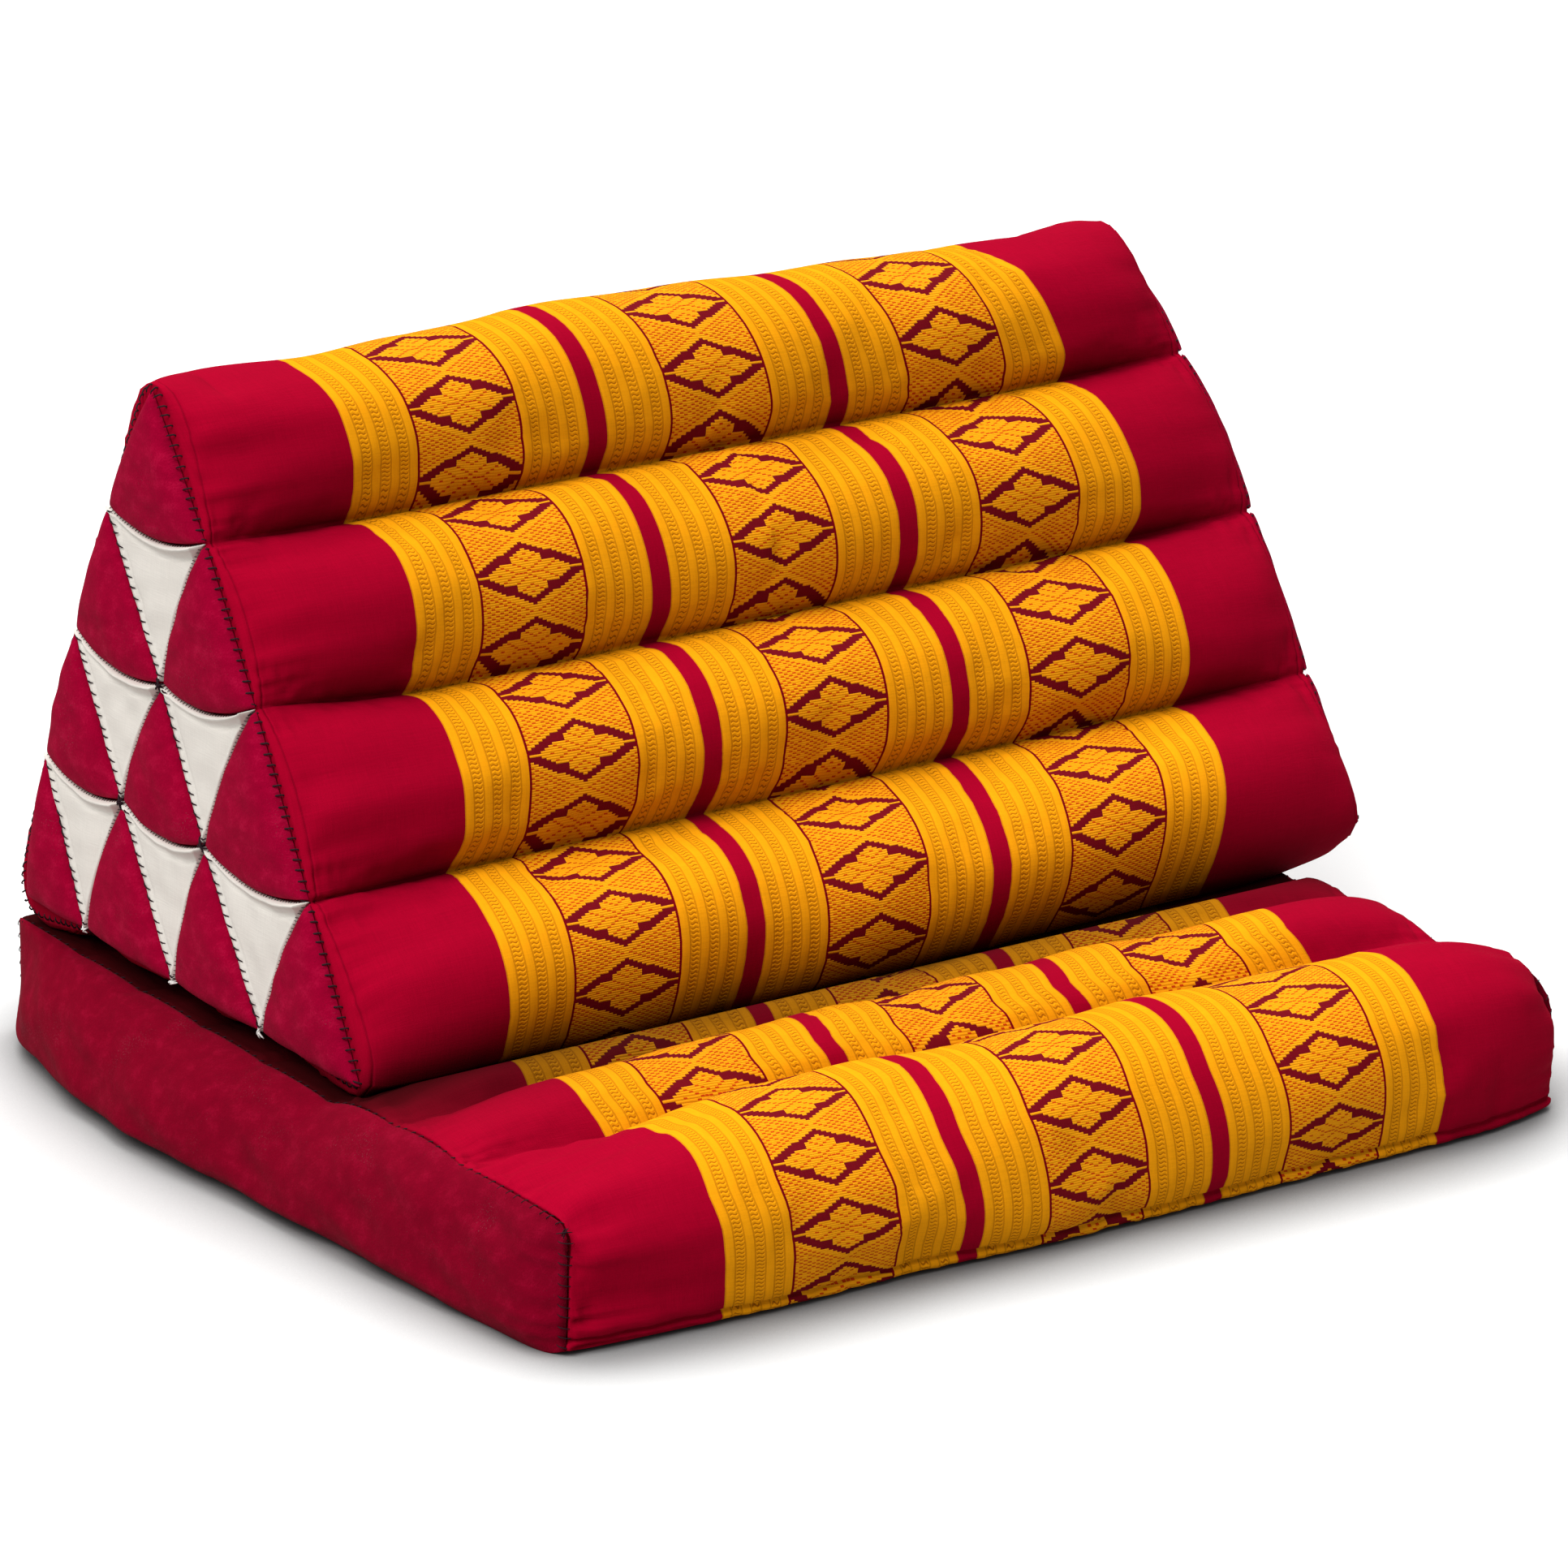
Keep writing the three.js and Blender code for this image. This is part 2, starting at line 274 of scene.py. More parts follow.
# felted nap: soft mottling, short fibres and paler worn places
napGroup, napIn, napOut = shaderGroup(
    "feltedNap",
    [("Cloth", "NodeSocketVector", None), ("Contrast", "NodeSocketFloat", 1.0)],
    [("Shade", "NodeSocketFloat"), ("Worn", "NodeSocketFloat"), ("Height", "NodeSocketFloat")])
napBlotch = noiseAt(napGroup, napIn["Cloth"], 0.11, 0.13, 5, 0.62)
napFibre = noiseAt(napGroup, napIn["Cloth"], 1.5, 1.1, 3, 0.7)
napSum = calc(napGroup, "MULTIPLY_ADD", napFibre, 0.35, calc(napGroup, "MULTIPLY", napBlotch, 0.65))
napSpread = calc(napGroup, "MULTIPLY", calc(napGroup, "SUBTRACT", napSum, 0.5), napIn["Contrast"])
feed(napGroup, napOut["Shade"], calc(napGroup, "ADD", napSpread, 1.0))
feed(napGroup, napOut["Worn"], shadedRange(napGroup, napSum, 0.52, 0.68, 0.0, 1.0))
feed(napGroup, napOut["Height"], napSum)

# the banded weave, in millimetres of cloth: u across the bands from the middle one, v along them
weave = {
    "pitch": 123.3, "diamondHalf": 25.45, "stripeFrom": 57.15, "bandsEnd": 180.45,  # across
    "cell": 2.036, "row": 0.972, "edgeLine": 0.55,
    "ribPitch": 9.0, "ribHalf": 2.1, "ribRow": 1.93,
    "chart": (".---...-.....", "-...-.....###", ".-...-...####", "..-...-.####.", "...-...####..", "-...######..-",
              ".-..#####..-.", "..-.####..-.-", "-..####..-.-.", "..###...-.-.-", ".###...-.-.-.", "###...-.-...-",
              "##...-.-.-.-.", "#...-.-...-.-", "...-.-.-.-.-.", "..-.-.-.-.-..", ".-...-.-.-.-."),
    # a quarter of one diamond, from its middle outwards: # dark ground, - a dark tie across a float, . float
}
bandGroup, bandIn, bandOut = shaderGroup(
    "bandedWeave", [("Cloth", "NodeSocketVector", None)],
    [(label, "NodeSocketFloat") for label in ("Gold", "Floats", "Dark", "Ties", "Edge", "Ribs", "Height")])


def bandCalc(operation, *values):
    return calc(bandGroup, operation, *values)


separate = addNode(bandGroup, "ShaderNodeSeparateXYZ")
feed(bandGroup, separate.inputs[0], bandIn["Cloth"])
clothU, clothV = separate.outputs[0], separate.outputs[1]
halfPitch = weave["pitch"] / 2
fromDiamond = bandCalc("ABSOLUTE", bandCalc("WRAP", clothU, halfPitch, -halfPitch))
inBands = bandCalc("LESS_THAN", bandCalc("ABSOLUTE", clothU), weave["bandsEnd"])
inDiamond = bandCalc("MULTIPLY", bandCalc("LESS_THAN", fromDiamond, weave["diamondHalf"]), inBands)
notStripe = bandCalc("LESS_THAN", fromDiamond, weave["stripeFrom"])
inGold = bandCalc("SUBTRACT", bandCalc("MULTIPLY", notStripe, inBands), inDiamond)
edgeLine = bandCalc("MULTIPLY", bandCalc("COMPARE", fromDiamond, weave["diamondHalf"], weave["edgeLine"]), inBands)

cellAcross = bandCalc("ADD", bandCalc("DIVIDE", fromDiamond, weave["cell"]), 0.5)
column = bandCalc("FLOOR", cellAcross)
withinCell = bandCalc("FRACT", cellAcross)
lastRow = len(weave["chart"]) - 1
rowAlong = bandCalc("ADD", bandCalc("PINGPONG", bandCalc("DIVIDE", clothV, weave["row"]), float(lastRow)), 0.5)
withinRow = bandCalc("FRACT", rowAlong)
ramp = addNode(bandGroup, "ShaderNodeValToRGB")
ramp.color_ramp.interpolation = "CONSTANT"
full = 2 ** len(weave["chart"][0])
for i, line in enumerate(weave["chart"]):
    stop = ramp.color_ramp.elements[0] if i == 0 else ramp.color_ramp.elements.new(i / (lastRow + 1))
    ground, ties = [sum(2 ** c for c, mark in enumerate(line) if mark == kind) for kind in "#-"]
    stop.color = (ground / full, ties / full, 0, 1)
ramp.color_ramp.elements.remove(ramp.color_ramp.elements[-1])
feed(bandGroup, ramp.inputs[0], bandCalc("DIVIDE", bandCalc("ADD", bandCalc("FLOOR", rowAlong), 0.5), lastRow + 1.0))
rampParts = addNode(bandGroup, "ShaderNodeSeparateColor")
feed(bandGroup, rampParts.inputs[0], ramp.outputs[0])
columnBit = bandCalc("POWER", 2.0, column)


def chartMark(lineValue):
    whole = bandCalc("FLOOR", bandCalc("MULTIPLY_ADD", lineValue, float(full), 0.5))
    return bandCalc("MODULO", bandCalc("FLOOR", bandCalc("DIVIDE", bandCalc("ADD", whole, 0.01), columnBit)), 2.0)


groundMark, tieMark = chartMark(rampParts.outputs[0]), chartMark(rampParts.outputs[1])
tieDash = bandCalc("MULTIPLY", bandCalc("COMPARE", withinRow, 0.5, 0.30), bandCalc("COMPARE", withinCell, 0.5, 0.44))
dark = bandCalc("MULTIPLY", groundMark, inDiamond)
ties = bandCalc("MULTIPLY", bandCalc("MULTIPLY", tieMark, tieDash), inDiamond)
roundFloat = bandCalc("SINE", bandCalc("MULTIPLY", withinRow, math.pi))
openFloat = bandCalc("SUBTRACT", 1.0, bandCalc("MAXIMUM", dark, ties))
floatHeight = bandCalc("MULTIPLY", openFloat, bandCalc("MULTIPLY_ADD", roundFloat, 0.5, 0.5))

goldMiddle = (weave["diamondHalf"] + weave["stripeFrom"]) / 2
fromRib = bandCalc("WRAP", bandCalc("SUBTRACT", fromDiamond, goldMiddle), weave["ribPitch"] / 2, -weave["ribPitch"] / 2)
ribDistance = bandCalc("ABSOLUTE", fromRib)
ribSway = bandCalc("MULTIPLY", bandCalc("SINE", bandCalc("MULTIPLY", fromRib, 2.2)), 0.28)
ribRow = bandCalc("FRACT", bandCalc("DIVIDE", bandCalc("ADD", clothV, ribSway), weave["ribRow"]))
ribDash = bandCalc("MULTIPLY", bandCalc("COMPARE", ribRow, 0.5, 0.15), bandCalc("LESS_THAN", ribDistance, 1.7))
ribValley = bandCalc("COMPARE", ribDistance, weave["ribHalf"] + 0.25, 0.4)
ribMarks = bandCalc("MULTIPLY", bandCalc("MAXIMUM", ribDash, bandCalc("MULTIPLY", ribValley, 0.55)), inGold)
crest = bandCalc("COSINE", bandCalc("MULTIPLY", fromRib, 2 * math.pi / weave["ribPitch"]))
ribBody = bandCalc("MULTIPLY", bandCalc("LESS_THAN", ribDistance, weave["ribHalf"]),
                   bandCalc("SINE", bandCalc("MULTIPLY", ribRow, math.pi)))
goldHeight = bandCalc("MULTIPLY_ADD", crest, -0.3, bandCalc("MULTIPLY", ribBody, -0.5))
bandHeight = bandCalc("ADD", bandCalc("MULTIPLY", floatHeight, inDiamond), bandCalc("MULTIPLY", goldHeight, inGold))
bandParts = {"Gold": inGold, "Floats": inDiamond, "Dark": dark, "Ties": ties, "Edge": edgeLine, "Ribs": ribMarks,
             "Height": bandHeight}
for label, value in bandParts.items():
    feed(bandGroup, bandOut[label], value)


def startMaterial(name):
    material = bpy.data.materials.new(name)
    material.use_nodes = True
    tree = material.node_tree
    tree.nodes.clear()
    shader = addNode(tree, "ShaderNodeBsdfPrincipled")
    output = addNode(tree, "ShaderNodeOutputMaterial")
    tree.links.new(shader.outputs[0], output.inputs[0])
    cloth = addNode(tree, "ShaderNodeUVMap", uv_map="cloth").outputs[0]
    return material, tree, shader, cloth


def raiseCloth(tree, shader, height, distance):
    bump = addNode(tree, "ShaderNodeBump")
    bump.inputs["Strength"].default_value = 1.0
    bump.inputs["Distance"].default_value = distance
    feed(tree, bump.inputs["Height"], height)
    feed(tree, shader.inputs["Normal"], bump.outputs[0])


coverFinish = {
    "crimson": (163, 0, 37), "gold": (254, 165, 14), "rib": (186, 108, 8), "float": (255, 165, 18), "tie": (212, 66, 12),
    # the crease colour paints shade along the hem crease, and the contact colour paints shade where the two covers meet
    "dark": (119, 13, 26), "edge": (130, 2, 20), "paintedCreaseShade": (70, 0, 16), "creaseShadeHalf": 0.3, "crease": 0.3,
    "paintedContactShade": (26, 4, 3), "bounce": 0.6, "bouncedCrimson": (40, 0, 8), "bouncedGold": (96, 46, 6),
    "roughness": (0.75, 0.9), "gloss": 0.03, "threadContrast": 0.55, "threadHeight": 0.12, "relief": 0.00035,
}

patterned, tree, shader, cloth = startMaterial("patternedCotton")
cotton = placeGroup(tree, cottonGroup, Cloth=cloth, Contrast=coverFinish["threadContrast"])
bands = placeGroup(tree, bandGroup, Cloth=cloth)
tint = colour(*coverFinish["crimson"])
for part, mask in (("gold", "Gold"), ("rib", "Ribs"), ("float", "Floats"), ("tie", "Ties"), ("dark", "Dark"), ("edge", "Edge")):
    tint = blendColour(tree, tint, colour(*coverFinish[part]), bands[mask])
tint = blendColour(tree, tint, grey(tree, cotton["Shade"]), 1.0, "MULTIPLY")
# painted shade: a thin dark line along the hem crease
creaseShadeLine = calc(tree, "COMPARE", mapParts(tree, "hem")[0], hem["inside"] * 1000, coverFinish["creaseShadeHalf"])
tint = blendColour(tree, tint, colour(*coverFinish["paintedCreaseShade"]), calc(tree, "MULTIPLY", creaseShadeLine, coverFinish["crease"]))
# painted shade: the covers are darkened by how near each lies to the other
tint = blendColour(tree, tint, colour(*coverFinish["paintedContactShade"]), mapParts(tree, "paintedContactShade")[0])
bounced = addNode(tree, "ShaderNodeLightPath").outputs["Is Diffuse Ray"]  # the rolls throw little colour on each other
thrown = blendColour(tree, colour(*coverFinish["bouncedCrimson"]), colour(*coverFinish["bouncedGold"]),
                     calc(tree, "MAXIMUM", bands["Gold"], bands["Floats"]))
tint = blendColour(tree, tint, thrown, calc(tree, "MULTIPLY", bounced, coverFinish["bounce"]))
feed(tree, shader.inputs["Base Color"], tint)
floatRough, plainRough = coverFinish["roughness"]
feed(tree, shader.inputs["Roughness"], shadedRange(tree, bands["Floats"], 0, 1, plainRough, floatRough))
shader.inputs["Specular IOR Level"].default_value = coverFinish["gloss"]
bandRelief = calc(tree, "MULTIPLY_ADD", cotton["Height"], coverFinish["threadHeight"], bands["Height"])
raiseCloth(tree, shader, bandRelief, coverFinish["relief"])

softFinish = {
    "sheen": 0.012, "sheenRoughness": 0.5, "gloss": 0.03,
    "brushedRed": {"base": (154, 0, 44), "worn": (168, 16, 57), "pale": (190, 100, 116), "lint": 0.35, "contrast": 0.9},
    "panelRed": {"base": (126, 0, 30), "worn": (140, 6, 40), "pale": (176, 88, 104), "lint": 0.45, "contrast": 0.8},
    "offWhiteCotton": {"base": (233, 227, 218), "pale": (240, 235, 228), "lint": 0.3, "contrast": 0.22},
    "felt": {"worn": 0.55, "lint": 0.45, "raised": 0.3, "relief": 0.00045, "roughness": (0.98, 0.86)},
    "plain": {"lint": 0.6, "raised": 0.8, "relief": 0.00006, "roughness": (0.9, 0.78)},
}


def softCloth(name, felted):  # felted red, or plain off-white cotton
    finish, kind = softFinish[name], softFinish["felt" if felted else "plain"]
    material, tree, shader, cloth = startMaterial(name)
    body = placeGroup(tree, napGroup if felted else cottonGroup, Cloth=cloth, Contrast=finish["contrast"])
    specks = placeGroup(tree, lintGroup, Cloth=cloth, Amount=finish["lint"])
    tint = colour(*finish["base"])
    if felted:
        tint = blendColour(tree, tint, colour(*finish["worn"]), calc(tree, "MULTIPLY", body["Worn"], kind["worn"]))
    tint = blendColour(tree, tint, grey(tree, body["Shade"]), 1.0, "MULTIPLY")
    tint = blendColour(tree, tint, colour(*finish["pale"]), calc(tree, "MULTIPLY", specks["Mask"], kind["lint"]))
    feed(tree, shader.inputs["Base Color"], tint)
    low, high = (0.3, 0.7) if felted else (0.4, 1.6)  # the range of the cloth's own height
    feed(tree, shader.inputs["Roughness"], shadedRange(tree, body["Height"], low, high, *kind["roughness"]))
    shader.inputs["Sheen Weight"].default_value = softFinish["sheen"]
    shader.inputs["Sheen Roughness"].default_value = softFinish["sheenRoughness"]
    shader.inputs["Specular IOR Level"].default_value = softFinish["gloss"]
    raiseCloth(tree, shader, calc(tree, "MULTIPLY_ADD", specks["Mask"], kind["raised"], body["Height"]), kind["relief"])
    return material


brushedRed, panelRed, offWhite = softCloth("brushedRed", True), softCloth("panelRed", True), softCloth("offWhiteCotton", False)
print("materials ready")


ruffle = {"seed": 11, "gather": 0.0012, "gatherRun": 0.015, "gatherWaves": (5, 13), "pulled": 1.7, "rightShare": 0.4,
          "broad": 1.3, "broadRun": 0.045, "broadWaves": (18, 45, 6), "pucker": 0.00045, "puckerRun": 0.008,
          "puckerWaves": (9, 24), "lump": 0.0011, "lumpWaves": (55, 130)}


def waves(rng, positions, shortest, longest, count=9):  # a sum of sines with settled phases, about one high
    total = np.zeros_like(positions, dtype=float)
    for length in np.geomspace(shortest, longest, count):
        total += np.sin(2 * np.pi * positions / length + rng.uniform(0, 2 * np.pi)) * rng.uniform(0.5, 1)
    return total / math.sqrt(count)


def lumps(rng, u, v, shortest, longest, count=14):
    total = np.zeros(np.broadcast(u, v).shape)
    for _ in range(count):
        length, turn = rng.uniform(shortest, longest), rng.uniform(0, np.pi)
        total = total + np.sin(2 * np.pi * (u * math.cos(turn) + v * math.sin(turn)) / length + rng.uniform(0, 2 * np.pi))
    return total / math.sqrt(count)


def ruffled(rng, xs, arc, rollCounts, half, hemmed, pulledRoll):  # how far a cover stands out of its smooth shape
    v, u = arc[:-1][:, None], xs[None, :] * 1000
    seams = arc[np.concatenate([[0], np.cumsum(rollCounts)])]
    fromSeam = np.abs(v - seams[None, :]).min(1)[:, None] / 1000
    roll = np.repeat(np.arange(len(rollCounts)), rollCounts)
    d = (half - np.abs(xs))[None, :]
    left, right = xs[None, :] < 0, xs[None, :] >= 0
    height = np.zeros((len(roll), len(xs)))
    gather = ruffle["gather"] * np.where(roll == pulledRoll, ruffle["pulled"], 1)[:, None]
    for end in (left, right * ruffle["rightShare"]):
        close = np.exp(-d / ruffle["gatherRun"]) * waves(rng, v, *ruffle["gatherWaves"]) * smooth(0.0005, 0.004, d)
        broad = np.exp(-d / ruffle["broadRun"]) * waves(rng, v, *ruffle["broadWaves"]) * smooth(0.001, 0.01, d)
        height += end * gather * (close + ruffle["broad"] * broad)
    for k in range(len(rollCounts)):
        pucker = np.exp(-fromSeam / ruffle["puckerRun"]) * waves(rng, u, *ruffle["puckerWaves"])
        height += (roll == k)[:, None] * ruffle["pucker"] * pucker * smooth(0, 0.004, fromSeam)
    body = smooth(0, 0.02, d) * smooth(0, 0.015, fromSeam)
    height += ruffle["lump"] * lumps(rng, u, v, *ruffle["lumpWaves"]) * body
    if hemmed:
        height -= hem["depth"] * np.exp(-((d - hem["inside"]) / hem["width"]) ** 2)
        height += hem["lip"] * smooth(0.0008, 0.003, d) * (1 - smooth(hem["inside"] - 0.0012, hem["inside"], d))
    return height


settle = {"frames": 16, "pressure": 1.2, "cap": 0.0045, "grow": (-0.004, -0.05), "growRun": 0.035, "spacing": 0.0026}


def settleCloth(name, grid, xs, rollCounts, half):  # lets the sewn cover fill, and gives how far each point moves
    rows = np.arange(0, len(grid), 2)
    columns = [0]
    for j in range(1, len(xs) - 1):
        if xs[j] - xs[columns[-1]] >= settle["spacing"] and xs[-1] - xs[j] >= settle["spacing"]:
            columns.append(j)
    columns = np.array(columns + [len(xs) - 1])
    cage = grid[np.ix_(rows, columns)]
    count = cage.shape[0] * cage.shape[1]
    mesh = bpy.data.meshes.new(name)
    caps = [tuple(int(i) for i in np.arange(len(rows)) * len(columns) + j) for j in (0, len(columns) - 1)]
    faces = [tuple(f) for f in gridQuads(len(rows), len(columns), True).tolist()] + [caps[0][::-1], caps[1]]
    mesh.from_pydata(cage.reshape(-1, 3).tolist(), [], faces)
    form = bpy.data.objects.new(name, mesh)
    bpy.context.scene.collection.objects.link(form)
    sewn, loose = form.vertex_groups.new(name="sewn"), form.vertex_groups.new(name="loose")
    seamRows = np.isin(rows, np.concatenate([[0], np.cumsum(rollCounts)]))
    pinned = np.zeros(cage.shape[:2], bool)
    pinned[seamRows] = True
    pinned[:, [0, -1]] = True
    sewn.add(np.flatnonzero(pinned.ravel()).tolist(), 1.0, "REPLACE")
    slack = np.exp(-(half - np.abs(xs[columns])) / settle["growRun"])
    for j in range(len(columns)):
        loose.add([int(i) for i in np.arange(len(rows)) * len(columns) + j], float(slack[j]), "REPLACE")
    modifier = form.modifiers.new("settle", "CLOTH")
    cloth, caught = modifier.settings, modifier.collision_settings
    cloth.quality, cloth.mass = 6, 0.25
    cloth.tension_stiffness = cloth.compression_stiffness = 12
    cloth.shear_stiffness, cloth.bending_stiffness = 6, 0.6
    cloth.vertex_group_mass, cloth.vertex_group_shrink = "sewn", "loose"
    cloth.shrink_min, cloth.shrink_max = settle["grow"]
    cloth.use_pressure, cloth.uniform_pressure_force = True, settle["pressure"]
    cloth.effector_weights.gravity = 0
    caught.use_collision = caught.use_self_collision = False
    modifier.point_cache.frame_start, modifier.point_cache.frame_end = 1, settle["frames"]
    scene = bpy.context.scene
    for step in range(1, settle["frames"] + 1):
        scene.frame_set(step)
    settled = np.zeros(count * 3, np.float32)
    form.evaluated_get(bpy.context.evaluated_depsgraph_get()).data.vertices.foreach_get("co", settled)
    bpy.data.objects.remove(form)
    scene.frame_set(1)
    moved = settled.reshape(cage.shape) - cage
    size = np.linalg.norm(moved, axis=-1, keepdims=True)
    moved = moved * np.minimum(1, settle["cap"] / np.maximum(size, 1e-9))
    closed, closedRows = np.concatenate([moved, moved[:1]]), np.concatenate([rows, [len(grid)]])
    dense = np.stack([[np.interp(np.arange(len(grid)), closedRows, closed[:, j, k]) for k in range(3)]
                      for j in range(len(columns))]).transpose(2, 0, 1)
    print(name, "settled", cage.shape[:2], "mean", float(size.mean()), "most", float(size.max()))
    return np.stack([[np.interp(xs, xs[columns], dense[i, :, k]) for k in range(3)]
                     for i in range(len(grid))]).transpose(0, 2, 1)


rest = {
    "width": 0.5, "depth": 0.266, "height": 0.2425, "apexBack": 0.026, "endLean": 0.010, "rolls": 4,
    "seamHeight": 0.0576, "sink": 0.010, "yaw": 1.64, "endInset": 0.003,
    "sagFront": (0.006, -0.004), "sagApex": (0, 0.011), "swellRun": 0.075, "endBulge": 0.0015, "sideBulge": 0.018,
    "corners": {"front": (0.026, 0.044, 0.008), "back": (0.019, 0.044, 0.022), "apex": (0.025, 0.060, 0.016)},
    "rows": {"foot": 12, "back": 44, "rear": 26, "ridge": 54, "face": 34, "front": 58},
    "edgeRound": 0.0006, "slipRun": 0.09, "fill": 0.85,
    # how the cloth is drawn into each sewn valley
    "creaseRun": 0.012, "creaseEnd": 0.0020, "creaseMid": 0.010, "creaseFade": 0.055, "creaseEndRun": 0.006,
    # millimetres along the cloth, and the left and right ends of its bands there
    "bandEnds": ((400, -180, 180), (537, -184.7, 172.3), (609, -177, 185.7), (612, -176.3, 184), (694, -174.3, 187),
                 (697, -174.3, 184), (778, -178.7, 182.3), (788, -183.7, 178), (829, -186, 169), (866, -187, 162.3)),
    # where a diamond's middle falls on each roll, and how the repeat is stretched
    "diamondAt": (20, 100, 230, 330, 410, 579.2, 662.5, 747.5, 829.2), "repeatStretch": 31.1 / 30.6, "slant": 0.0475,
    # millimetres by which the right end is drawn in at each height, and by which the ridge stands higher along its length
    "rightIn": ((0, 4), (20, 3.4), (40, 1.2), (60, -0.8), (90, -1), (110, -2.6), (126, -3.8), (150, -3.2), (170, -0.8),
                (190, 2), (210, 6.5), (230, 10), (245, 11)),
    "ridge": ((-247, 0), (-222, -3.5), (-123, -4), (-98, -1.2), (-70, 1.7), (-49, 1.7), (-20, 0.5), (124, -1.2),
              (174, -1.2), (199, 1.2), (225, 4), (247, 4.5)),
    # millimetres that each corner of the left end's patches is out of its even place, by row and column
    "slip": {(0, 0): (1.9, -0.4), (1, 0): (5.0, -0.2), (1, 1): (-0.5, 1.0), (2, 0): (2.6, 4.1), (2, 1): (1.4, -2.9),
             (2, 2): (1.0, 5.0), (3, 0): (-1.8, 6.8), (3, 1): (3.4, 1.9), (3, 2): (7.4, 0.7), (3, 3): (-0.2, -0.9),
             (4, 0): (-5.1, -6.4), (4, 1): (4.2, -0.3), (4, 2): (2.6, -2.3), (4, 3): (3.2, -3.3), (4, 4): (-0.3, 0.8)},
}
restHalf = rest["width"] / 2 - rest["endInset"]
seamCorners = [np.array(p) for p in ((-rest["depth"] / 2, 0), (rest["depth"] / 2, 0), (rest["apexBack"], rest["height"]))]
endSlope = rest["endLean"] / rest["height"]
restYaw = math.radians(rest["yaw"])
restEnd = {"left": -restHalf, "right": restHalf}


def slipAt(row, column, x):  # fades along the cloth from the left end
    return np.array(rest["slip"][row, column]) / 1000 * float(1 - smooth(0, rest["slipRun"], x + restHalf))


def filledCorners(x):
    across = x / rest["width"] + 0.5
    front, back, apex = seamCorners
    last = rest["rolls"]
    return [front - (0, mix(*rest["sagFront"], across)) + slipAt(last, last, x), back + slipAt(last, 0, x),
            apex - (0, mix(*rest["sagApex"], across) - float(tableAt(rest["ridge"], x))) + slipAt(0, 0, x)]


def restSeam(side, k, x):
    place = mix(seamCorners[side % 3], seamCorners[(side + 1) % 3], k / rest["rolls"])
    if side % 3 == 1:
        place = place + slipAt(rest["rolls"] - k, 0, x)
    elif side % 3 == 2:
        place = place + slipAt(k, k, x)
    return place


def drawnIn(section, counts, inwards, depth, run):  # pulls the cloth beside each seam into a cusp
    start = 0
    drawn = section.copy()
    for count, (before, after) in zip(counts, inwards):
        roll = section[start:start + count]
        nextSeam = section[(start + count) % len(section)]
        s = runAlong(np.concatenate([roll, nextSeam[None]]))
        fromStart = np.clip(1 - s[:-1] / run, 0, 1) ** 2
        fromEnd = np.clip(1 - (s[-1] - s[:-1]) / run, 0, 1) ** 2
        drawn[start:start + count] += depth * (fromStart[:, None] * before + fromEnd[:, None] * after)
        start += count
    return drawn


def inwardOf(side):
    along = unit(seamCorners[(side + 1) % 3] - seamCorners[side % 3])
    return np.array((-along[1], along[0]))


def restSection(x, sewn=True):
    swell = swellAt(restHalf - abs(x), rest["swellRun"])
    corners = dict(zip(("front", "back", "apex"), filledCorners(x)))
    rows, rolls, last = rest["rows"], [], rest["rolls"] - 1

    def cornerRoll(name, side, count):
        bulge, midRound, endRound = rest["corners"][name]
        rolls.append(rollArc(restSeam(side + 2, last, x), restSeam(side, 1, x), mix(rest["endBulge"], bulge, swell),
                             sewnSpread(count), corners[name], mix(endRound, midRound, swell)))

    def straightRolls(side, count):
        for k in range(1, last):
            rolls.append(rollArc(restSeam(side, k, x), restSeam(side, k + 1, x),
                                 mix(rest["endBulge"], rest["sideBulge"], swell), sewnSpread(count)))

    straightRolls(0, rows["foot"])
    cornerRoll("back", 1, rows["back"])
    straightRolls(1, rows["rear"])
    cornerRoll("apex", 2, rows["ridge"])
    straightRolls(2, rows["face"])
    cornerRoll("front", 0, rows["front"])
    counts = [len(r) for r in rolls]
    foot, rear, face = inwardOf(0), inwardOf(1), inwardOf(2)
    inwards = [(foot, foot)] * 2 + [(foot, rear)] + [(rear, rear)] * 2 + [(rear, face)]
    inwards += [(face, face)] * 2 + [(face, foot)]
    fade = smooth(0, rest["creaseFade"], restHalf - abs(x))
    depth = mix(rest["creaseEnd"], rest["creaseMid"], fade) if sewn else 0
    run = mix(rest["creaseEndRun"], rest["creaseRun"], fade)
    section = drawnIn(np.concatenate(rolls), counts, inwards, depth, run)
    section[:, 1] = np.maximum(section[:, 1], -rest["sink"])
    return section, counts


def placeRest(points):  # from the back rest's own axes to the frame
    x, y, z = points[..., 0], points[..., 1], points[..., 2]
    c, s = math.cos(restYaw), math.sin(restYaw)
    return np.stack([x * c - y * s, x * s + y * c, z + rest["seamHeight"]], -1) + rowShift


def drawnRight(z):
    return tableAt(rest["rightIn"], z)


def leanX(x, z):
    return x / restHalf * (restHalf - z * endSlope - np.where(x > 0, drawnRight(z), 0))


def arcAlong(section):  # millimetres around it
    return runAlong(np.concatenate([section, section[:1]])) * 1000


def bandU(x, v, bandEnds):  # stretches the cloth sideways to put its bands where they lie
    table = np.array(bandEnds)
    left = np.interp(v, table[:, 0], table[:, 1])
    right = np.interp(v, table[:, 0], table[:, 2])
    return ((x * 1000 - left) / (right - left) * 2 - 1) * weave["bandsEnd"]


cornerSteps = ((0, 0), (1, 0), (1, 1), (0, 1))  # the corners of one face of a grid
plainCloth, farFromHem = (400.0, 0.0), 20.0  # millimetres, past the last band and past the hem crease


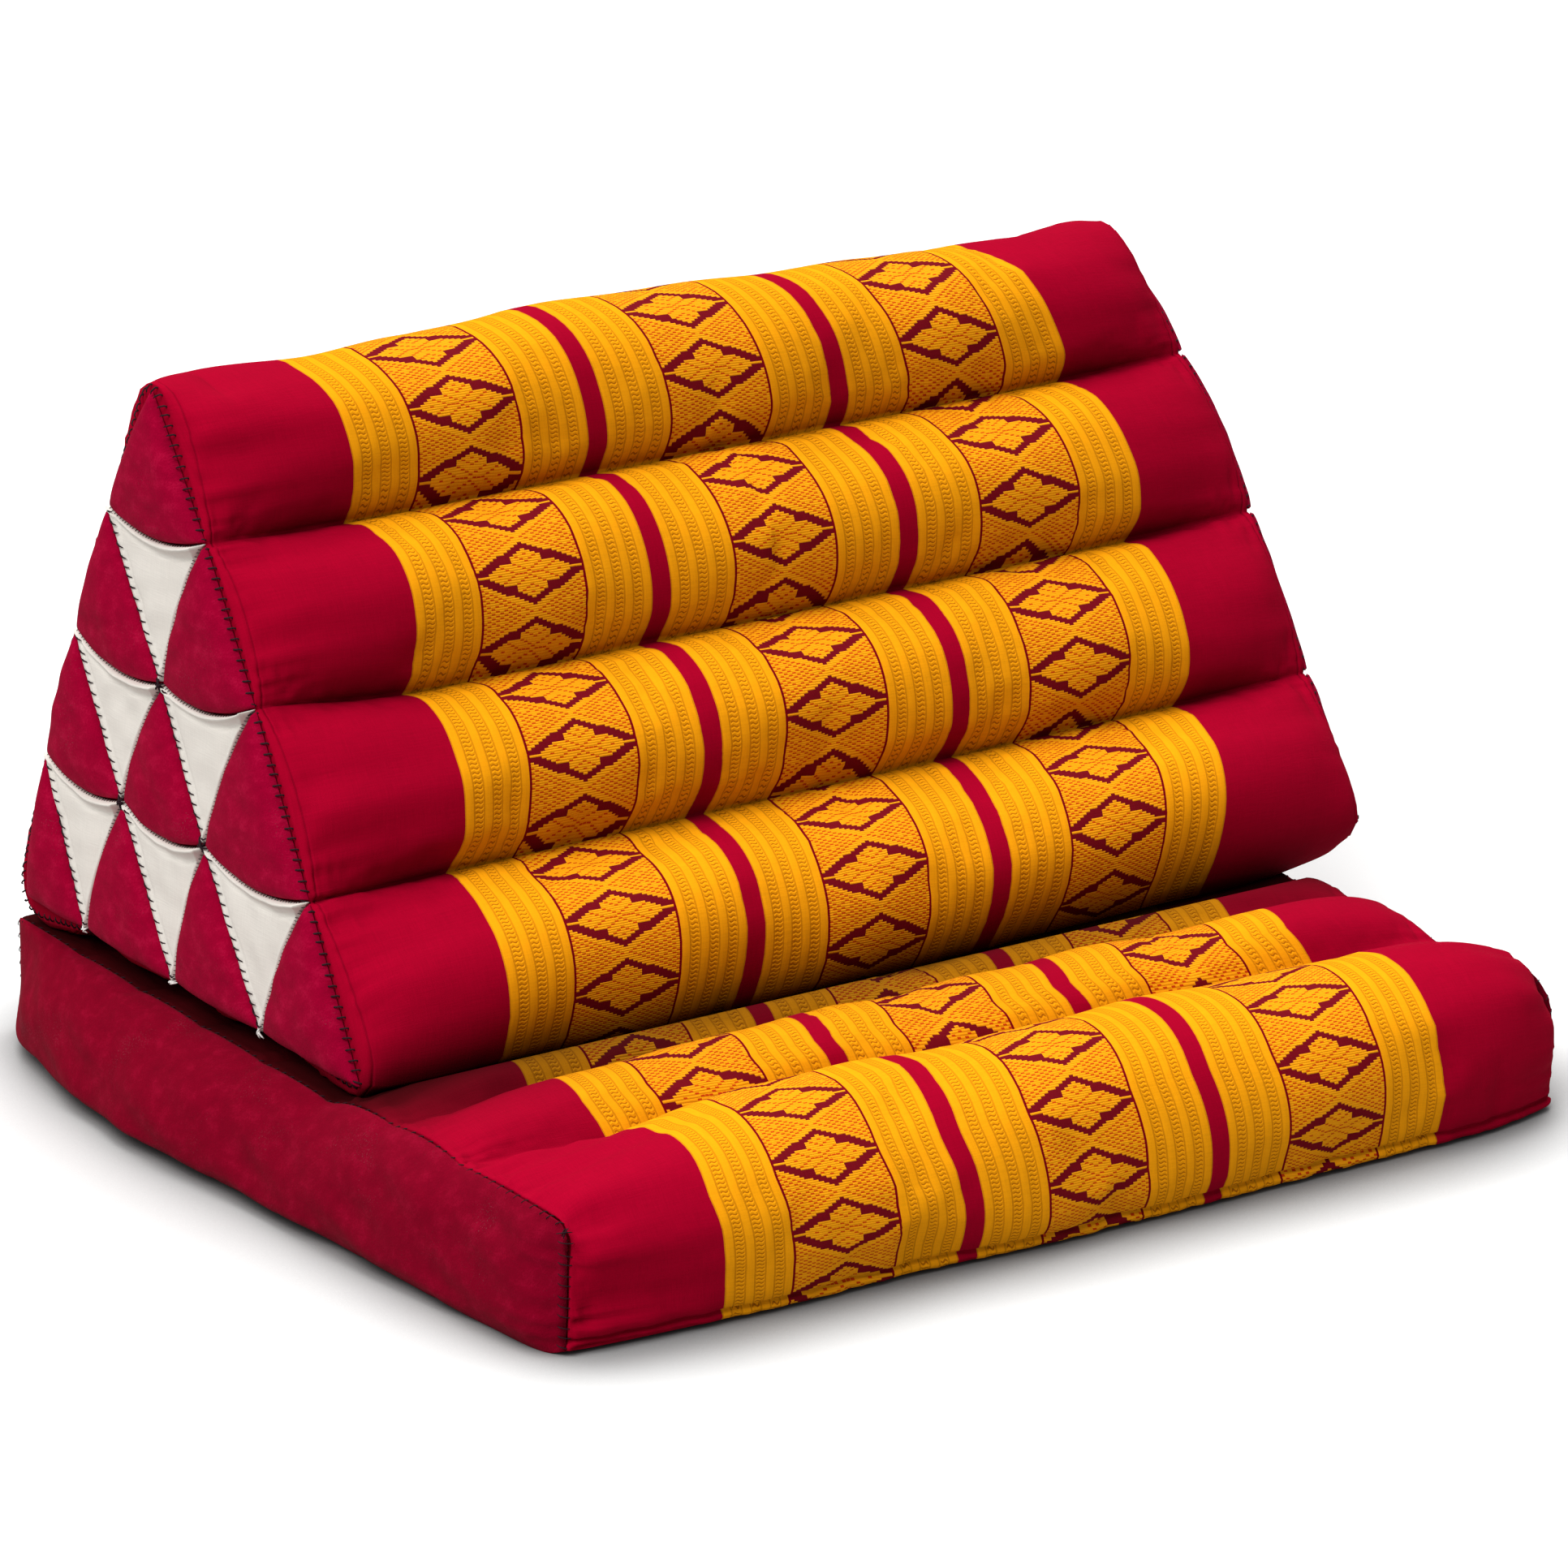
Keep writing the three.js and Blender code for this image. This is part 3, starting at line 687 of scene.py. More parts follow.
def coverUvs(xs, arc, rollCounts, settings):
    roll = np.repeat(np.arange(len(rollCounts)), rollCounts)
    middle = np.array(settings["diamondAt"])[roll]
    rows, columns = len(roll), len(xs)
    uvs = np.zeros((rows, columns - 1, 4, 2))
    for corner, (down, along) in enumerate(cornerSteps):
        v = arc[np.arange(rows) + down][:, None]
        x = xs[along:columns - 1 + along][None, :]
        uvs[:, :, corner, 0] = bandU(x, v, settings["bandEnds"])
        uvs[:, :, corner, 1] = (v - middle[:, None]) * settings["repeatStretch"] - settings["slant"] * x * 1000
    return uvs


def hemUvs(xs, rows, half):  # millimetres from the end seam
    columns = len(xs)
    uvs = np.zeros((rows, columns - 1, 4, 2))
    for corner, (down, along) in enumerate(cornerSteps):
        uvs[:, :, corner, 0] = ((half - np.abs(xs)) * 1000)[along:columns - 1 + along][None, :]
    return uvs


def endCaps(grid, place):  # a ring and a middle to close each end of a cover
    rings = [(grid[:, j], grid[:, j].mean(0)) for j in (0, -1)]
    return [(place(mix(ring, middle, 0.03)), place(middle)) for ring, middle in rings]


def closedCover(name, points, quads, uvs, hemMap, capPoints, material):
    rows, columns = points.shape[:2]
    flat = points.reshape(-1, 3)
    faces = [tuple(q) for q in quads.tolist()]
    loops = [uvs.reshape(-1, 2)]
    verts = [flat]
    count = len(flat)
    for j, (ring, middle) in zip((0, columns - 1), capPoints):
        verts += [ring, middle[None, :]]
        edge = np.arange(rows) * columns + j
        inner = count + np.arange(rows)
        centre = count + rows
        count += rows + 1
        for i in range(rows):
            n = (i + 1) % rows
            quad, tip = (edge[i], edge[n], inner[n], inner[i]), (inner[i], inner[n], centre)
            if j == 0:
                quad, tip = quad[::-1], tip[::-1]
            faces += [tuple(int(k) for k in quad), tuple(int(k) for k in tip)]
            loops.append(np.full((7, 2), plainCloth))
    cloth = np.concatenate(loops)
    edges = np.concatenate([hemMap.reshape(-1, 2), np.full((len(cloth) - hemMap.size // 2, 2), farFromHem)])
    return makePiece(name, np.concatenate(verts), faces, material, cloth=cloth, hem=edges)


def edgeRounding(xs, half, roundBy):
    d = np.clip(half - np.abs(xs), 0, roundBy)
    return roundBy - np.sqrt(np.maximum(roundBy ** 2 - (roundBy - d) ** 2, 0))


restXs = stationsAlong(restHalf)
restSections = [restSection(x) for x in restXs]
restRollCounts = restSections[0][1]
restPoints = np.stack([s[0] for s in restSections], 1)
restGrid = np.concatenate([leanX(restXs[None, :], restPoints[..., 1])[..., None], restPoints], -1)
restArc = arcAlong(restSection(0, False)[0])
rng = np.random.default_rng(ruffle["seed"])
restRelief = ruffled(rng, restXs, restArc, restRollCounts, restHalf, True, 0)
restRelief = restRelief - edgeRounding(restXs, restHalf, rest["edgeRound"])[None, :]
restGrid = restGrid + settleCloth("restForm", restGrid, restXs, restRollCounts, restHalf)
restGrid = restGrid + gridNormals(restGrid) * restRelief[..., None]
restGrid[..., 2] = np.maximum(restGrid[..., 2], -rest["sink"])
restCover = closedCover("backRestCover", placeRest(restGrid), gridQuads(len(restGrid), len(restXs), True),
                        coverUvs(restXs, restArc, restRollCounts, rest), hemUvs(restXs, len(restGrid), restHalf),
                        endCaps(restGrid, placeRest), patterned)
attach(restCover, "root")
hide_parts("back_rest")
print("back rest cover", len(restCover.data.polygons), "faces")


mat = {
    "width": 0.468, "back": 0.118, "front": -0.306, "shift": -0.0202, "channels": 8, "frontRoll": 0.080, "rim": 0.002,
    "cornerHeight": 0.056, "endBulge": 0.002, "topBulge": 0.015, "wallBulge": 0.015, "midRound": 0.032, "valleyMid": 0.051,
    "footEnd": 0.0005, "foot": 0.006, "footBulge": 0.011, "endInset": 0.003, "edgeRound": 0.0012, "fill": 0.8,
    "frontBow": (0.0038, -0.09, 0.0),  # how far the front bows out, and between which places along it that grows
    # how each end fills out and rounds off
    "endDraw": {"left": 0.007, "right": 0.008}, "endRound": {"left": 0.005, "right": 0.022},
    "swellRun": {"left": 0.060, "right": 0.046}, "easeRun": {"left": 0.115, "right": 0.062},
    "ease": {"left": 0.8, "right": 0.35}, "valleyEnd": {"left": 0.052, "right": 0.0475},
    "cornerEnd": {"left": 0.0505, "right": 0.0530},
    # where the back rest presses it flat
    "pressEdge": -0.133, "pressSlope": 0.45, "pressSoft": 0.0012, "pressGroove": 0.006, "endGroove": 0.0008,
    "creaseRun": 0.011, "creaseEnd": 0.0003, "creaseMid": 0.008, "creaseFade": 0.15,
    "rows": {"foot": 6, "wall": 34, "pressed": 12, "top": 28, "front": 64},
    "bandEnds": ((783, -170, 165), (843, -168, 168), (846, -168, 167), (880, -170, 162), (903, -165, 172), (906, -168, 167),
                 (960, -171, 163), (988, -173.7, 159.7), (1045, -167, 165)),
    "diamondAt": (0, 80, 130, 190, 240, 300, 350, 400, 510, 590, 645, 700, 755, 838, 896.2, 991.2),
    "repeatStretch": 31.1 / 29.4, "slant": 0.055,
}
matHalf = mat["width"] / 2 - mat["endInset"]
matPitch = (mat["back"] - mat["front"] - mat["frontRoll"]) / (mat["channels"] - 1)
matEnd = {"left": -matHalf, "right": matHalf}
pressedTop = rest["seamHeight"] - rest["sink"] - gap


def matCeiling(y):
    return pressedTop + np.maximum(0, mat["pressEdge"] - y) * mat["pressSlope"]


def pressedUnder(z, y):  # softly held below the back rest
    soft = mat["pressSoft"]
    room = np.clip((matCeiling(y) - z) / soft, -40, 40)
    return np.minimum(matCeiling(y) - soft * np.log1p(np.exp(room)), z)


def matSection(x, sewn=True):
    distance = matHalf - abs(x)
    end = "left" if x < 0 else "right"
    eased = math.sin(min(distance / mat["easeRun"][end], 1) * math.pi / 2)
    swell = mix(swellAt(distance, mat["swellRun"][end]), eased, mat["ease"][end])
    bow, bowFrom, bowTo = mat["frontBow"]
    front = mat["front"] + mat["endDraw"][end] * (1 - swell) - bow * float(smooth(bowFrom, bowTo, x)) * swell
    valley = mix(mat["valleyEnd"][end], mat["valleyMid"], swell)
    wall, topRise = mix(mat["endBulge"], mat["wallBulge"], swell), mix(mat["endBulge"], mat["topBulge"], swell)
    roundBy = mix(mat["endRound"][end], mat["midRound"], swell)
    rows, last, footRise = mat["rows"], mat["channels"] - 1, mat["footBulge"]

    def seamY(k):
        return mat["back"] - k * matPitch

    def topSeam(k):
        return seamY(k), min(valley, matCeiling(seamY(k)) - mix(mat["endGroove"], mat["pressGroove"], swell))

    def footSeam(k):
        return seamY(k), mix(mat["footEnd"], mat["foot"], swell)

    frontRim, backRim = (front, mat["rim"]), (mat["back"], mat["rim"])
    footLine = [frontRim, *[footSeam(k) for k in range(last, 0, -1)], backRim]
    rolls = [rollArc(a, b, footRise, sewnSpread(rows["foot"])) for a, b in zip(footLine, footLine[1:])]
    rolls.append(rollArc(backRim, topSeam(1), wall, sewnSpread(rows["wall"]), (mat["back"], valley), roundBy))
    for k in range(1, last):
        count = rows["top"] if k >= last - 2 else rows["pressed"]
        rolls.append(rollArc(topSeam(k), topSeam(k + 1), topRise, sewnSpread(count)))
    frontTop = (front, mix(mat["cornerEnd"][end], mat["cornerHeight"], swell))
    rolls.append(rollArc(topSeam(last), frontRim, wall, sewnSpread(rows["front"]), frontTop, roundBy))
    counts = [len(r) for r in rolls]
    none, down = np.zeros(2), np.array((0, -1))
    inwards = [(none, none)] * (last + 1) + [(none, down)] + [(down, down)] * (last - 1) + [(down, none)]
    depth = mix(mat["creaseEnd"], mat["creaseMid"], smooth(0, mat["creaseFade"], matHalf - abs(x))) if sewn else 0
    section = drawnIn(np.concatenate(rolls), counts, inwards, depth, mat["creaseRun"])
    section[:, 1] = np.maximum(pressedUnder(section[:, 1], section[:, 0]), 0)
    return section, counts


def placeMat(points):
    return points + (mat["shift"], 0, 0) + rowShift


matXs = stationsAlong(matHalf)
matSections = [matSection(x) for x in matXs]
matRollCounts = matSections[0][1]
matPoints = np.stack([s[0] for s in matSections], 1)
matGrid = np.concatenate([np.broadcast_to(matXs[None, :, None], matPoints.shape[:2] + (1,)), matPoints], -1)
matArc = arcAlong(matSection(0, False)[0])
matGrid = matGrid + settleCloth("matForm", matGrid, matXs, matRollCounts, matHalf)
matRelief = ruffled(rng, matXs, matArc, matRollCounts, matHalf, False, len(matRollCounts) - 1)
matRelief = matRelief - edgeRounding(matXs, matHalf, mat["edgeRound"])[None, :]
cornerPull = {"depth": 0.0035, "along": 0.012, "around": 14, "arc": 985}  # where the corner's thread draws the cloth in
pulledAlong = np.exp(-((matHalf - np.abs(matXs)) / cornerPull["along"]) ** 2)
pulledAround = np.exp(-((matArc[:-1] - cornerPull["arc"]) / cornerPull["around"]) ** 2)
matRelief = matRelief - cornerPull["depth"] * pulledAround[:, None] * pulledAlong[None, :]
footHem = {"above": 0.0046, "width": 0.0010, "depth": 0.0022, "lip": 0.0012, "lipFrom": 0.0028}  # along the foot of the front
fromRim = ((matArc[-1] - matArc[:-1]) / 1000)[:, None]
onFront = (np.arange(len(matGrid)) >= len(matGrid) - matRollCounts[-1])[:, None]
matRelief = matRelief - onFront * footHem["depth"] * np.exp(-((fromRim - footHem["above"]) / footHem["width"]) ** 2)
matRelief = matRelief + onFront * footHem["lip"] * (1 - smooth(footHem["lipFrom"], footHem["above"], fromRim))
matGrid = matGrid + gridNormals(matGrid) * matRelief[..., None]
matGrid[..., 2] = np.clip(matGrid[..., 2], 0, matCeiling(matGrid[..., 1]))
matCover = closedCover("seatMatCover", placeMat(matGrid), gridQuads(len(matGrid), len(matXs), True),
                       coverUvs(matXs, matArc, matRollCounts, mat), hemUvs(matXs, len(matGrid), matHalf) + (farFromHem, 0),
                       endCaps(matGrid, placeMat), patterned)
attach(matCover, "root")
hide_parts("seat_mat")
print("seat mat cover", len(matCover.data.polygons), "faces")


# painted shade where the two covers lie together: how dark the cloth is painted there, how far that runs and how it
# ends
paintedContactShade = {"reach": 0.11, "mat": (0.95, 0.042, 2), "rest": (0.65, 0.008, 1)}


# paints shade into a map on a cover: the nearer it lies to the other cover, the darker
def paintContactShade(cover, other, depth, run, power):
    surface = BVHTree.FromPolygons([v.co for v in other.data.vertices], [p.vertices for p in other.data.polygons])
    near = [surface.find_nearest(v.co, paintedContactShade["reach"])[3] for v in cover.data.vertices]
    away = np.array([paintedContactShade["reach"] if n is None else n for n in near])
    shade = depth * np.exp(-(away / run) ** power)
    corners = np.zeros(len(cover.data.loops), np.int32)
    cover.data.loops.foreach_get("vertex_index", corners)
    layer = cover.data.uv_layers.new(name="paintedContactShade", do_init=False)
    layer.data.foreach_set("uv", np.stack([shade[corners], np.zeros(len(corners))], 1).astype(np.float32).ravel())


paintContactShade(matCover, restCover, *paintedContactShade["mat"])
paintContactShade(restCover, matCover, *paintedContactShade["rest"])
print("covers shaded where they meet")


pad = {
    "draw": {"front": 0.001, "back": 0.011, "apex": 0.007}, "split": 38, "crowd": 1.35, "sunk": 0.0002,
    "red": {"rim": 0.0026, "crown": 0.0052, "seam": 0.0004, "rolled": 0.0024, "round": 0.5, "lip": 0, "fill": 0.6},
    "white": {"rim": 0.0022, "crown": 0.0012, "seam": 0.0003, "rolled": 0.0010, "round": 0.5, "lip": 0.0056, "fill": 0.3},
    "outerRolled": 0.006, "bowOuter": 0.0005, "bowTop": 0.0065, "bowSide": 0.0024, "lump": 0.0005, "lumpWaves": (12, 40),
    # the turned edges of a white piece
    "lipHeight": 0.0006, "lipCrease": 0.0006, "bead": 0.0009, "turn": {"left": 0.0045, "right": 0.0008}, "turnFrom": 0.0006,
    "turnRun": (0.0022, 0.0075), "flapCrease": 0.0008, "rightShort": 0.006,
}
endMiddle = sum(seamCorners) / 3


def latticeNode(side, row, column):  # row 0 is the apex, column 0 lies along the back edge
    drawn = []
    for name, corner in zip(("front", "back", "apex"), filledCorners(restEnd[side])):
        drawn.append(corner + unit(endMiddle - corner) * pad["draw"][name])
    front, back, apex = drawn
    if row == 0:
        return apex
    if row == rest["rolls"] and column == 0:
        return back
    if row == rest["rolls"] and column == row:
        return front
    down = row / rest["rolls"]
    seamFront, seamBack, seamApex = seamCorners
    even = mix(mix(seamApex, seamBack, down), mix(seamApex, seamFront, down), column / row)
    return even + slipAt(row, column, restEnd[side])


def whiteCorners(side, row, column):  # tip, top by the back and top by the front of a white piece
    tip, top = latticeNode(side, row, column + 1), latticeNode(side, row - 1, column)
    topFront = latticeNode(side, row - 1, column + 1)
    if side == "right" and column == row - 2:
        topFront = topFront + unit((tip + top) / 2 - topFront) * pad["rightShort"]
    return tip, top, topFront


def placeEnd(side, points):  # x stands out from the end, y and z as in a section
    angle = math.atan(endSlope)
    x, y, z = points[..., 0], points[..., 1], points[..., 2]
    out = x * math.cos(angle) - z * math.sin(angle) + restHalf + gap
    up = x * math.sin(angle) + z * math.cos(angle)
    return placeRest(np.stack([out - drawnRight(up) if side == "right" else -out, y, up], -1))


def bowedEdge(a, b, bow, t):  # points along a patch's edge, curved out of the straight
    along = unit(b - a)
    normal = np.array((along[1], -along[0]))
    return a + (b - a) * t[:, None] + normal * (bow * 4 * t * (1 - t))[:, None]


def paddedTriangle(name, side, corners, bows, rolled, form, material):
    n = pad["split"]
    index, weights = {}, []
    for i in range(n + 1):
        for j in range(n + 1 - i):
            index[i, j] = len(weights)
            weights.append((i / n, j / n, (n - i - j) / n))
    w = np.array(weights) ** pad["crowd"]  # closer together along the edges
    w /= w.sum(1, keepdims=True)
    corners = [np.array(c) for c in corners]
    middle = sum(corners) / 3
    sides = [np.linalg.norm(corners[(k + 1) % 3] - corners[k]) for k in range(3)]
    trim = 1 - form["seam"] * 2 * math.sqrt(3) / sides[0]
    flat = w @ np.array(corners)
    for k in range(3):
        along = (corners[(k + 1) % 3] - corners[k]) / sides[k]
        normal = np.array((along[1], -along[0]))
        flat += normal * (bows[k] * 4 * w[:, k] * w[:, (k + 1) % 3])[:, None]
    flat = (flat - middle) * trim + middle
    a, b = corners[1] - corners[0], corners[2] - corners[0]
    area = abs(a[0] * b[1] - a[1] * b[0])
    inside = [w[:, (k + 2) % 3] * area / sides[k] for k in range(3)]  # from each edge
    rise = np.ones(len(w))
    for k in range(3):
        rise = np.minimum(rise, np.sqrt(1 - (1 - np.clip(inside[k] / rolled[k], 0, 1)) ** 2))
    crown = np.clip(27 * w.prod(1), 0, 1) ** form["round"]
    height = form["rim"] * rise + form["crown"] * crown
    height += pad["lump"] * lumps(rng, flat[:, 0] * 1000, flat[:, 1] * 1000, *pad["lumpWaves"]) * np.sqrt(crown)
    if form["lip"]:  # the turned-in back edge, and the top that stands up towards the piece above
        height += pad["lipHeight"] * (1 - smooth(form["lip"] - 0.0008, form["lip"], inside[0])) * rise
        height -= pad["lipCrease"] * np.exp(-((inside[0] - form["lip"]) / 0.0006) ** 2)
        share = np.clip(w[:, 2] / np.maximum(w[:, 1] + w[:, 2], 1e-6), 0, 1)  # from the top's back corner to its front
        run = mix(*pad["turnRun"], share)
        flap = np.clip(1 - inside[1] / run, 0, 1)
        height += mix(pad["turnFrom"], pad["turn"][side], share ** 2) * flap ** 1.2 * rise
        height -= pad["flapCrease"] * share * np.exp(-((inside[1] - run) / 0.0011) ** 2)
        for k, thick in ((1, mix(0.0009, 0.0014, share)), (2, 0.0009)):
            height += pad["bead"] * np.exp(-((inside[k] - thick) / (0.8 * thick)) ** 2)
    face = np.concatenate([height[:, None], flat], 1)
    around = [(i, 0) for i in range(n)] + [(n - k, k) for k in range(n)] + [(0, n - k) for k in range(n)]
    rim = [index[place] for place in around]
    base = face[rim].copy()
    base[:, 0] = -pad["sunk"]
    points = np.concatenate([face, base, [[-pad["sunk"], *middle]]])
    faces = []
    for i in range(n):
        for j in range(n - i):
            faces.append((index[i, j], index[i + 1, j], index[i, j + 1]))
            if i + j < n - 1:
                faces.append((index[i + 1, j], index[i + 1, j + 1], index[i, j + 1]))
    start, centre = len(face), len(face) + len(rim)
    for k in range(len(rim)):
        m = (k + 1) % len(rim)
        faces.append((rim[k], start + k, start + m, rim[m]))
        faces.append((start + m, start + k, centre))
    placed = placeEnd(side, points)
    a, b, c = placed[list(faces[0][:3])]
    outward = placeEnd(side, np.array((0.1, *middle))) - placeEnd(side, np.array((0, *middle)))
    if np.dot(np.cross(b - a, c - a), outward) < 0:
        faces = [f[::-1] for f in faces]
    order = [k for f in faces for k in f]
    return makePiece(name, placed, faces, material, cloth=points[order, 1:] * 1000)


for side in ("left", "right"):
    for row in range(1, rest["rolls"] + 1):
        for column in range(row):
            apex, back = latticeNode(side, row - 1, column), latticeNode(side, row, column)
            front = latticeNode(side, row, column + 1)
            footBow = pad["bowOuter"] if row == rest["rolls"] else pad["bowTop"]
            backBow = pad["bowOuter"] if column == 0 else pad["bowSide"]
            frontBow = pad["bowOuter"] if column == row - 1 else 0
            outside = (row == rest["rolls"], column == 0, column == row - 1)  # which edges lie along the end seam
            rolled = [pad["outerRolled"] if edge else pad["red"]["rolled"] for edge in outside]
            pieces = [("red", (front, back, apex), (footBow, backBow, frontBow), rolled, brushedRed)]
            if column < row - 1:
                pieces.append(("white", whiteCorners(side, row, column), (0, -pad["bowTop"], -pad["bowSide"]),
                               [pad["white"]["rolled"]] * 3, offWhite))
            for kind, corners, bows, rolled, material in pieces:
                node = f"{side}_{kind}_{row}_{column}"
                patch = paddedTriangle(f"{node}_patch", side, corners, bows, rolled, pad[kind], material)
                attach(patch, "root")
                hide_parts(node)
print("pieced ends ready")


panel = {
    "belly": 0.18, "power": 2.5, "tuck": 0.62, "along": 150, "under": 5, "up": 40, "fill": 0.75, "topDrop": 0.0015,
    "fold": 0.0013, "foldWaves": (30, 110), "pleat": 0.0013, "cornerPleats": (5, 13), "cornerRun": 0.014,
    "topPleats": (6, 16), "topRun": 0.009,
    # how far the panel stands out at its belly, along its length from the front, millimetres
    "out": ((-299, 0), (-296, 4.5), (-290, 8.5), (-280, 10.8), (-262, 13), (-245, 16), (-212, 18.5), (-183, 20.5),
            (-147, 22.5), (-114, 25), (-83, 28.5), (-49, 31), (-18, 32), (15, 31.5), (50, 27.5), (90, 17), (106, 10),
            (114, 5), (118, 0)),
    "share": {"left": 1.0, "right": 0.58},
}


def panelOutline(side):
    section, counts = matSection(matEnd[side])
    edge = int(np.cumsum(counts)[mat["channels"] - 1])
    closed = np.concatenate([section, section[:1]])
    return closed[:edge + 1], closed[edge:]  # front rim to back rim below, back rim over the top to the front rim


def panelFlat(side, u):  # the panel's outline, spanned evenly from its four edges
    bottom, top = panelOutline(side)
    wall, length = mat["valleyEnd"][side] - panel["topDrop"], runAlong(top)[-1]
    backEdge, frontEdge = alongLine(top, wall * u), alongLine(top, length - wall * u)
    topEdge = alongLine(top, np.linspace(length - wall, wall, panel["along"]))
    bottomEdge = alongLine(bottom, np.linspace(0, runAlong(bottom)[-1], panel["along"]))
    a, up = np.linspace(0, 1, panel["along"])[:, None, None], u[None, :, None]
    ruled = mix(bottomEdge[:, None], topEdge[:, None], up) + mix(frontEdge[None], backEdge[None], a)
    return ruled - mix(mix(bottomEdge[0], topEdge[0], up), mix(bottomEdge[-1], topEdge[-1], up), a), wall


def matPanel(side):
    t = np.linspace(0, 1, panel["up"])
    u = mix(t, 0.5 - 0.5 * np.cos(np.pi * t), 0.6)
    flat, wall = panelFlat(side, u)
    belly = panel["belly"]
    swell = np.where(u > belly, 1 - (np.maximum(u - belly, 0) / (1 - belly)) ** panel["power"],
                     1 - (1 - panel["tuck"]) * (np.maximum(belly - u, 0) / belly) ** 2)
    reach = tableAt(panel["out"], flat[..., 0]) * panel["share"][side]
    for _ in range(6):
        reach[1:-1] = (reach[:-2] + reach[1:-1] + reach[2:]) / 3
    x = reach * swell[None, :]
    inner = np.minimum(reach / 0.012, 1) * smooth(0, 0.3, 1 - u)[None, :] * smooth(0, 0.12, u)[None, :]
    x += panel["fold"] * lumps(rng, flat[..., 0] * 1000, flat[..., 1] * 2200, *panel["foldWaves"]) * inner
    fromCorner, fromTop = flat[..., 0] - flat[..., 0].min(), (1 - u)[None, :] * wall
    pleats = waves(rng, flat[..., 1] * 1000, *panel["cornerPleats"]) * smooth(0, 0.004, fromCorner) * smooth(0, 0.1, 1 - u)
    x += panel["pleat"] * pleats * np.exp(-fromCorner / panel["cornerRun"])
    pleats = waves(rng, flat[..., 0] * 1000, *panel["topPleats"]) * smooth(0, 0.004, fromTop) * inner
    x += 0.5 * panel["pleat"] * pleats * np.exp(-fromTop / panel["topRun"])
    under = np.linspace(0, 1, panel["under"], endpoint=False)[None, :]  # the part that lies on the floor
    x = np.concatenate([x[:, :1] * under, x], 1)
    flat = np.concatenate([np.repeat(flat[:, :1], panel["under"], 1), flat], 1)
    rows, columns = x.shape
    sign = -1 if side == "left" else 1
    front = placeMat(np.concatenate([(sign * (x + matHalf + gap))[..., None], flat], -1)).reshape(-1, 3)
    back = placeMat(np.concatenate([np.full(x.shape + (1,), sign * (matHalf + gap)), flat], -1)).reshape(-1, 3)
    around = np.zeros((rows, columns), bool)
    around[[0, -1]] = around[:, [0, -1]] = True
    quads = gridQuads(rows, columns, False)
    backQuads = quads[:, ::-1]
    backQuads = np.where(around.ravel()[backQuads], backQuads, backQuads + len(front))  # the rim is shared
    used, faces = np.unique(np.concatenate([quads, backQuads]), return_inverse=True)
    faces = faces.reshape(-1, 4)
    if side == "left":
        faces = faces[:, ::-1]
    points = np.concatenate([front, back])[used]
    steps = np.linalg.norm(np.diff(np.concatenate([x[..., None], flat], -1), axis=1), axis=-1)
    over = np.cumsum(np.concatenate([np.zeros((rows, 1)), steps], 1), 1)
    mapped = np.stack([flat[..., 0], over], -1).reshape(-1, 2) * 1000
    uvs = np.concatenate([mapped, mapped])[used][faces.ravel()]
    piece = makePiece(f"mat{side.title()}Panel", points, [tuple(f) for f in faces.tolist()], panelRed, cloth=uvs)
    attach(piece, "root")
    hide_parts(f"mat_{side}_end")


for side in ("left", "right"):
    matPanel(side)
print("mat end panels ready")


stitch = {
    "seed": 5, "sides": 5, "points": 7, "stray": 0.12, "leanStray": (0.7, 1.3), "sunk": 0.0006,
    "end": {"pitch": 0.0043, "lean": -0.0013, "in": 0.0022, "inRise": 0.0021, "over": 0.0012, "lift": 0.0003},
    "lip": {"pitch": 0.0046, "lean": -0.0056, "in": 0.0048, "inRise": 0.0041, "over": 0.0007, "lift": 0.0010},
    "fine": {"pitch": 0.0020, "lean": 0.0006, "in": 0.0010, "inRise": 0.0028, "over": 0.0004, "lift": 0.0003},
    "mat": {"pitch": 0.0058, "lean": -0.0024, "in": 0.0012, "inRise": 0.0014, "over": 0.0011, "lift": 0.0001},
    "corner": {"pitch": 0.0042, "lean": -0.0014, "in": 0.0022, "inRise": 0.0029, "over": 0.0026, "lift": 0.0006},
    "radius": {"end": 0.00036, "lip": 0.00036, "fine": 0.00014, "mat": 0.00022, "knot": 0.0004},
    "edgeRise": 0.0016, "edgeSink": 0.0012,  # of the stitches along a white piece
    "threadEnds": ((3, 2, 0.36), (3, 1, 0.60)),  # by the white piece's tip, and how far down its front edge
    "knotNodes": ((2, 1), (3, 1), (3, 2)), "dark": (30, 14, 20), "pale": (214, 208, 198),
    # height, threads and reach of each kind of knot
    "tipKnot": (0.002, 3, 0.0024), "endKnot": (0.0024, 2, 0.0018), "nodeKnot": (0.0022, 5, 0.0032),
    "cornerKnot": (-0.001, 5, 0.0026),
}


def threadCloth(name, tone):
    material, tree, shader, cloth = startMaterial(name)
    twist = noiseAt(tree, cloth, 2.0, 6.0, 1)
    tint = blendColour(tree, colour(*tone), colour(*[min(255, c * 1.35 + 8) for c in tone]), twist)
    feed(tree, shader.inputs["Base Color"], tint)
    feed(tree, shader.inputs["Roughness"], shadedRange(tree, twist, 0.3, 0.7, 0.6, 0.8))
    shader.inputs["Specular IOR Level"].default_value = 0.15
    raiseCloth(tree, shader, twist, 0.0001)
    return material


darkThread, paleThread = threadCloth("darkThread", stitch["dark"]), threadCloth("paleThread", stitch["pale"])


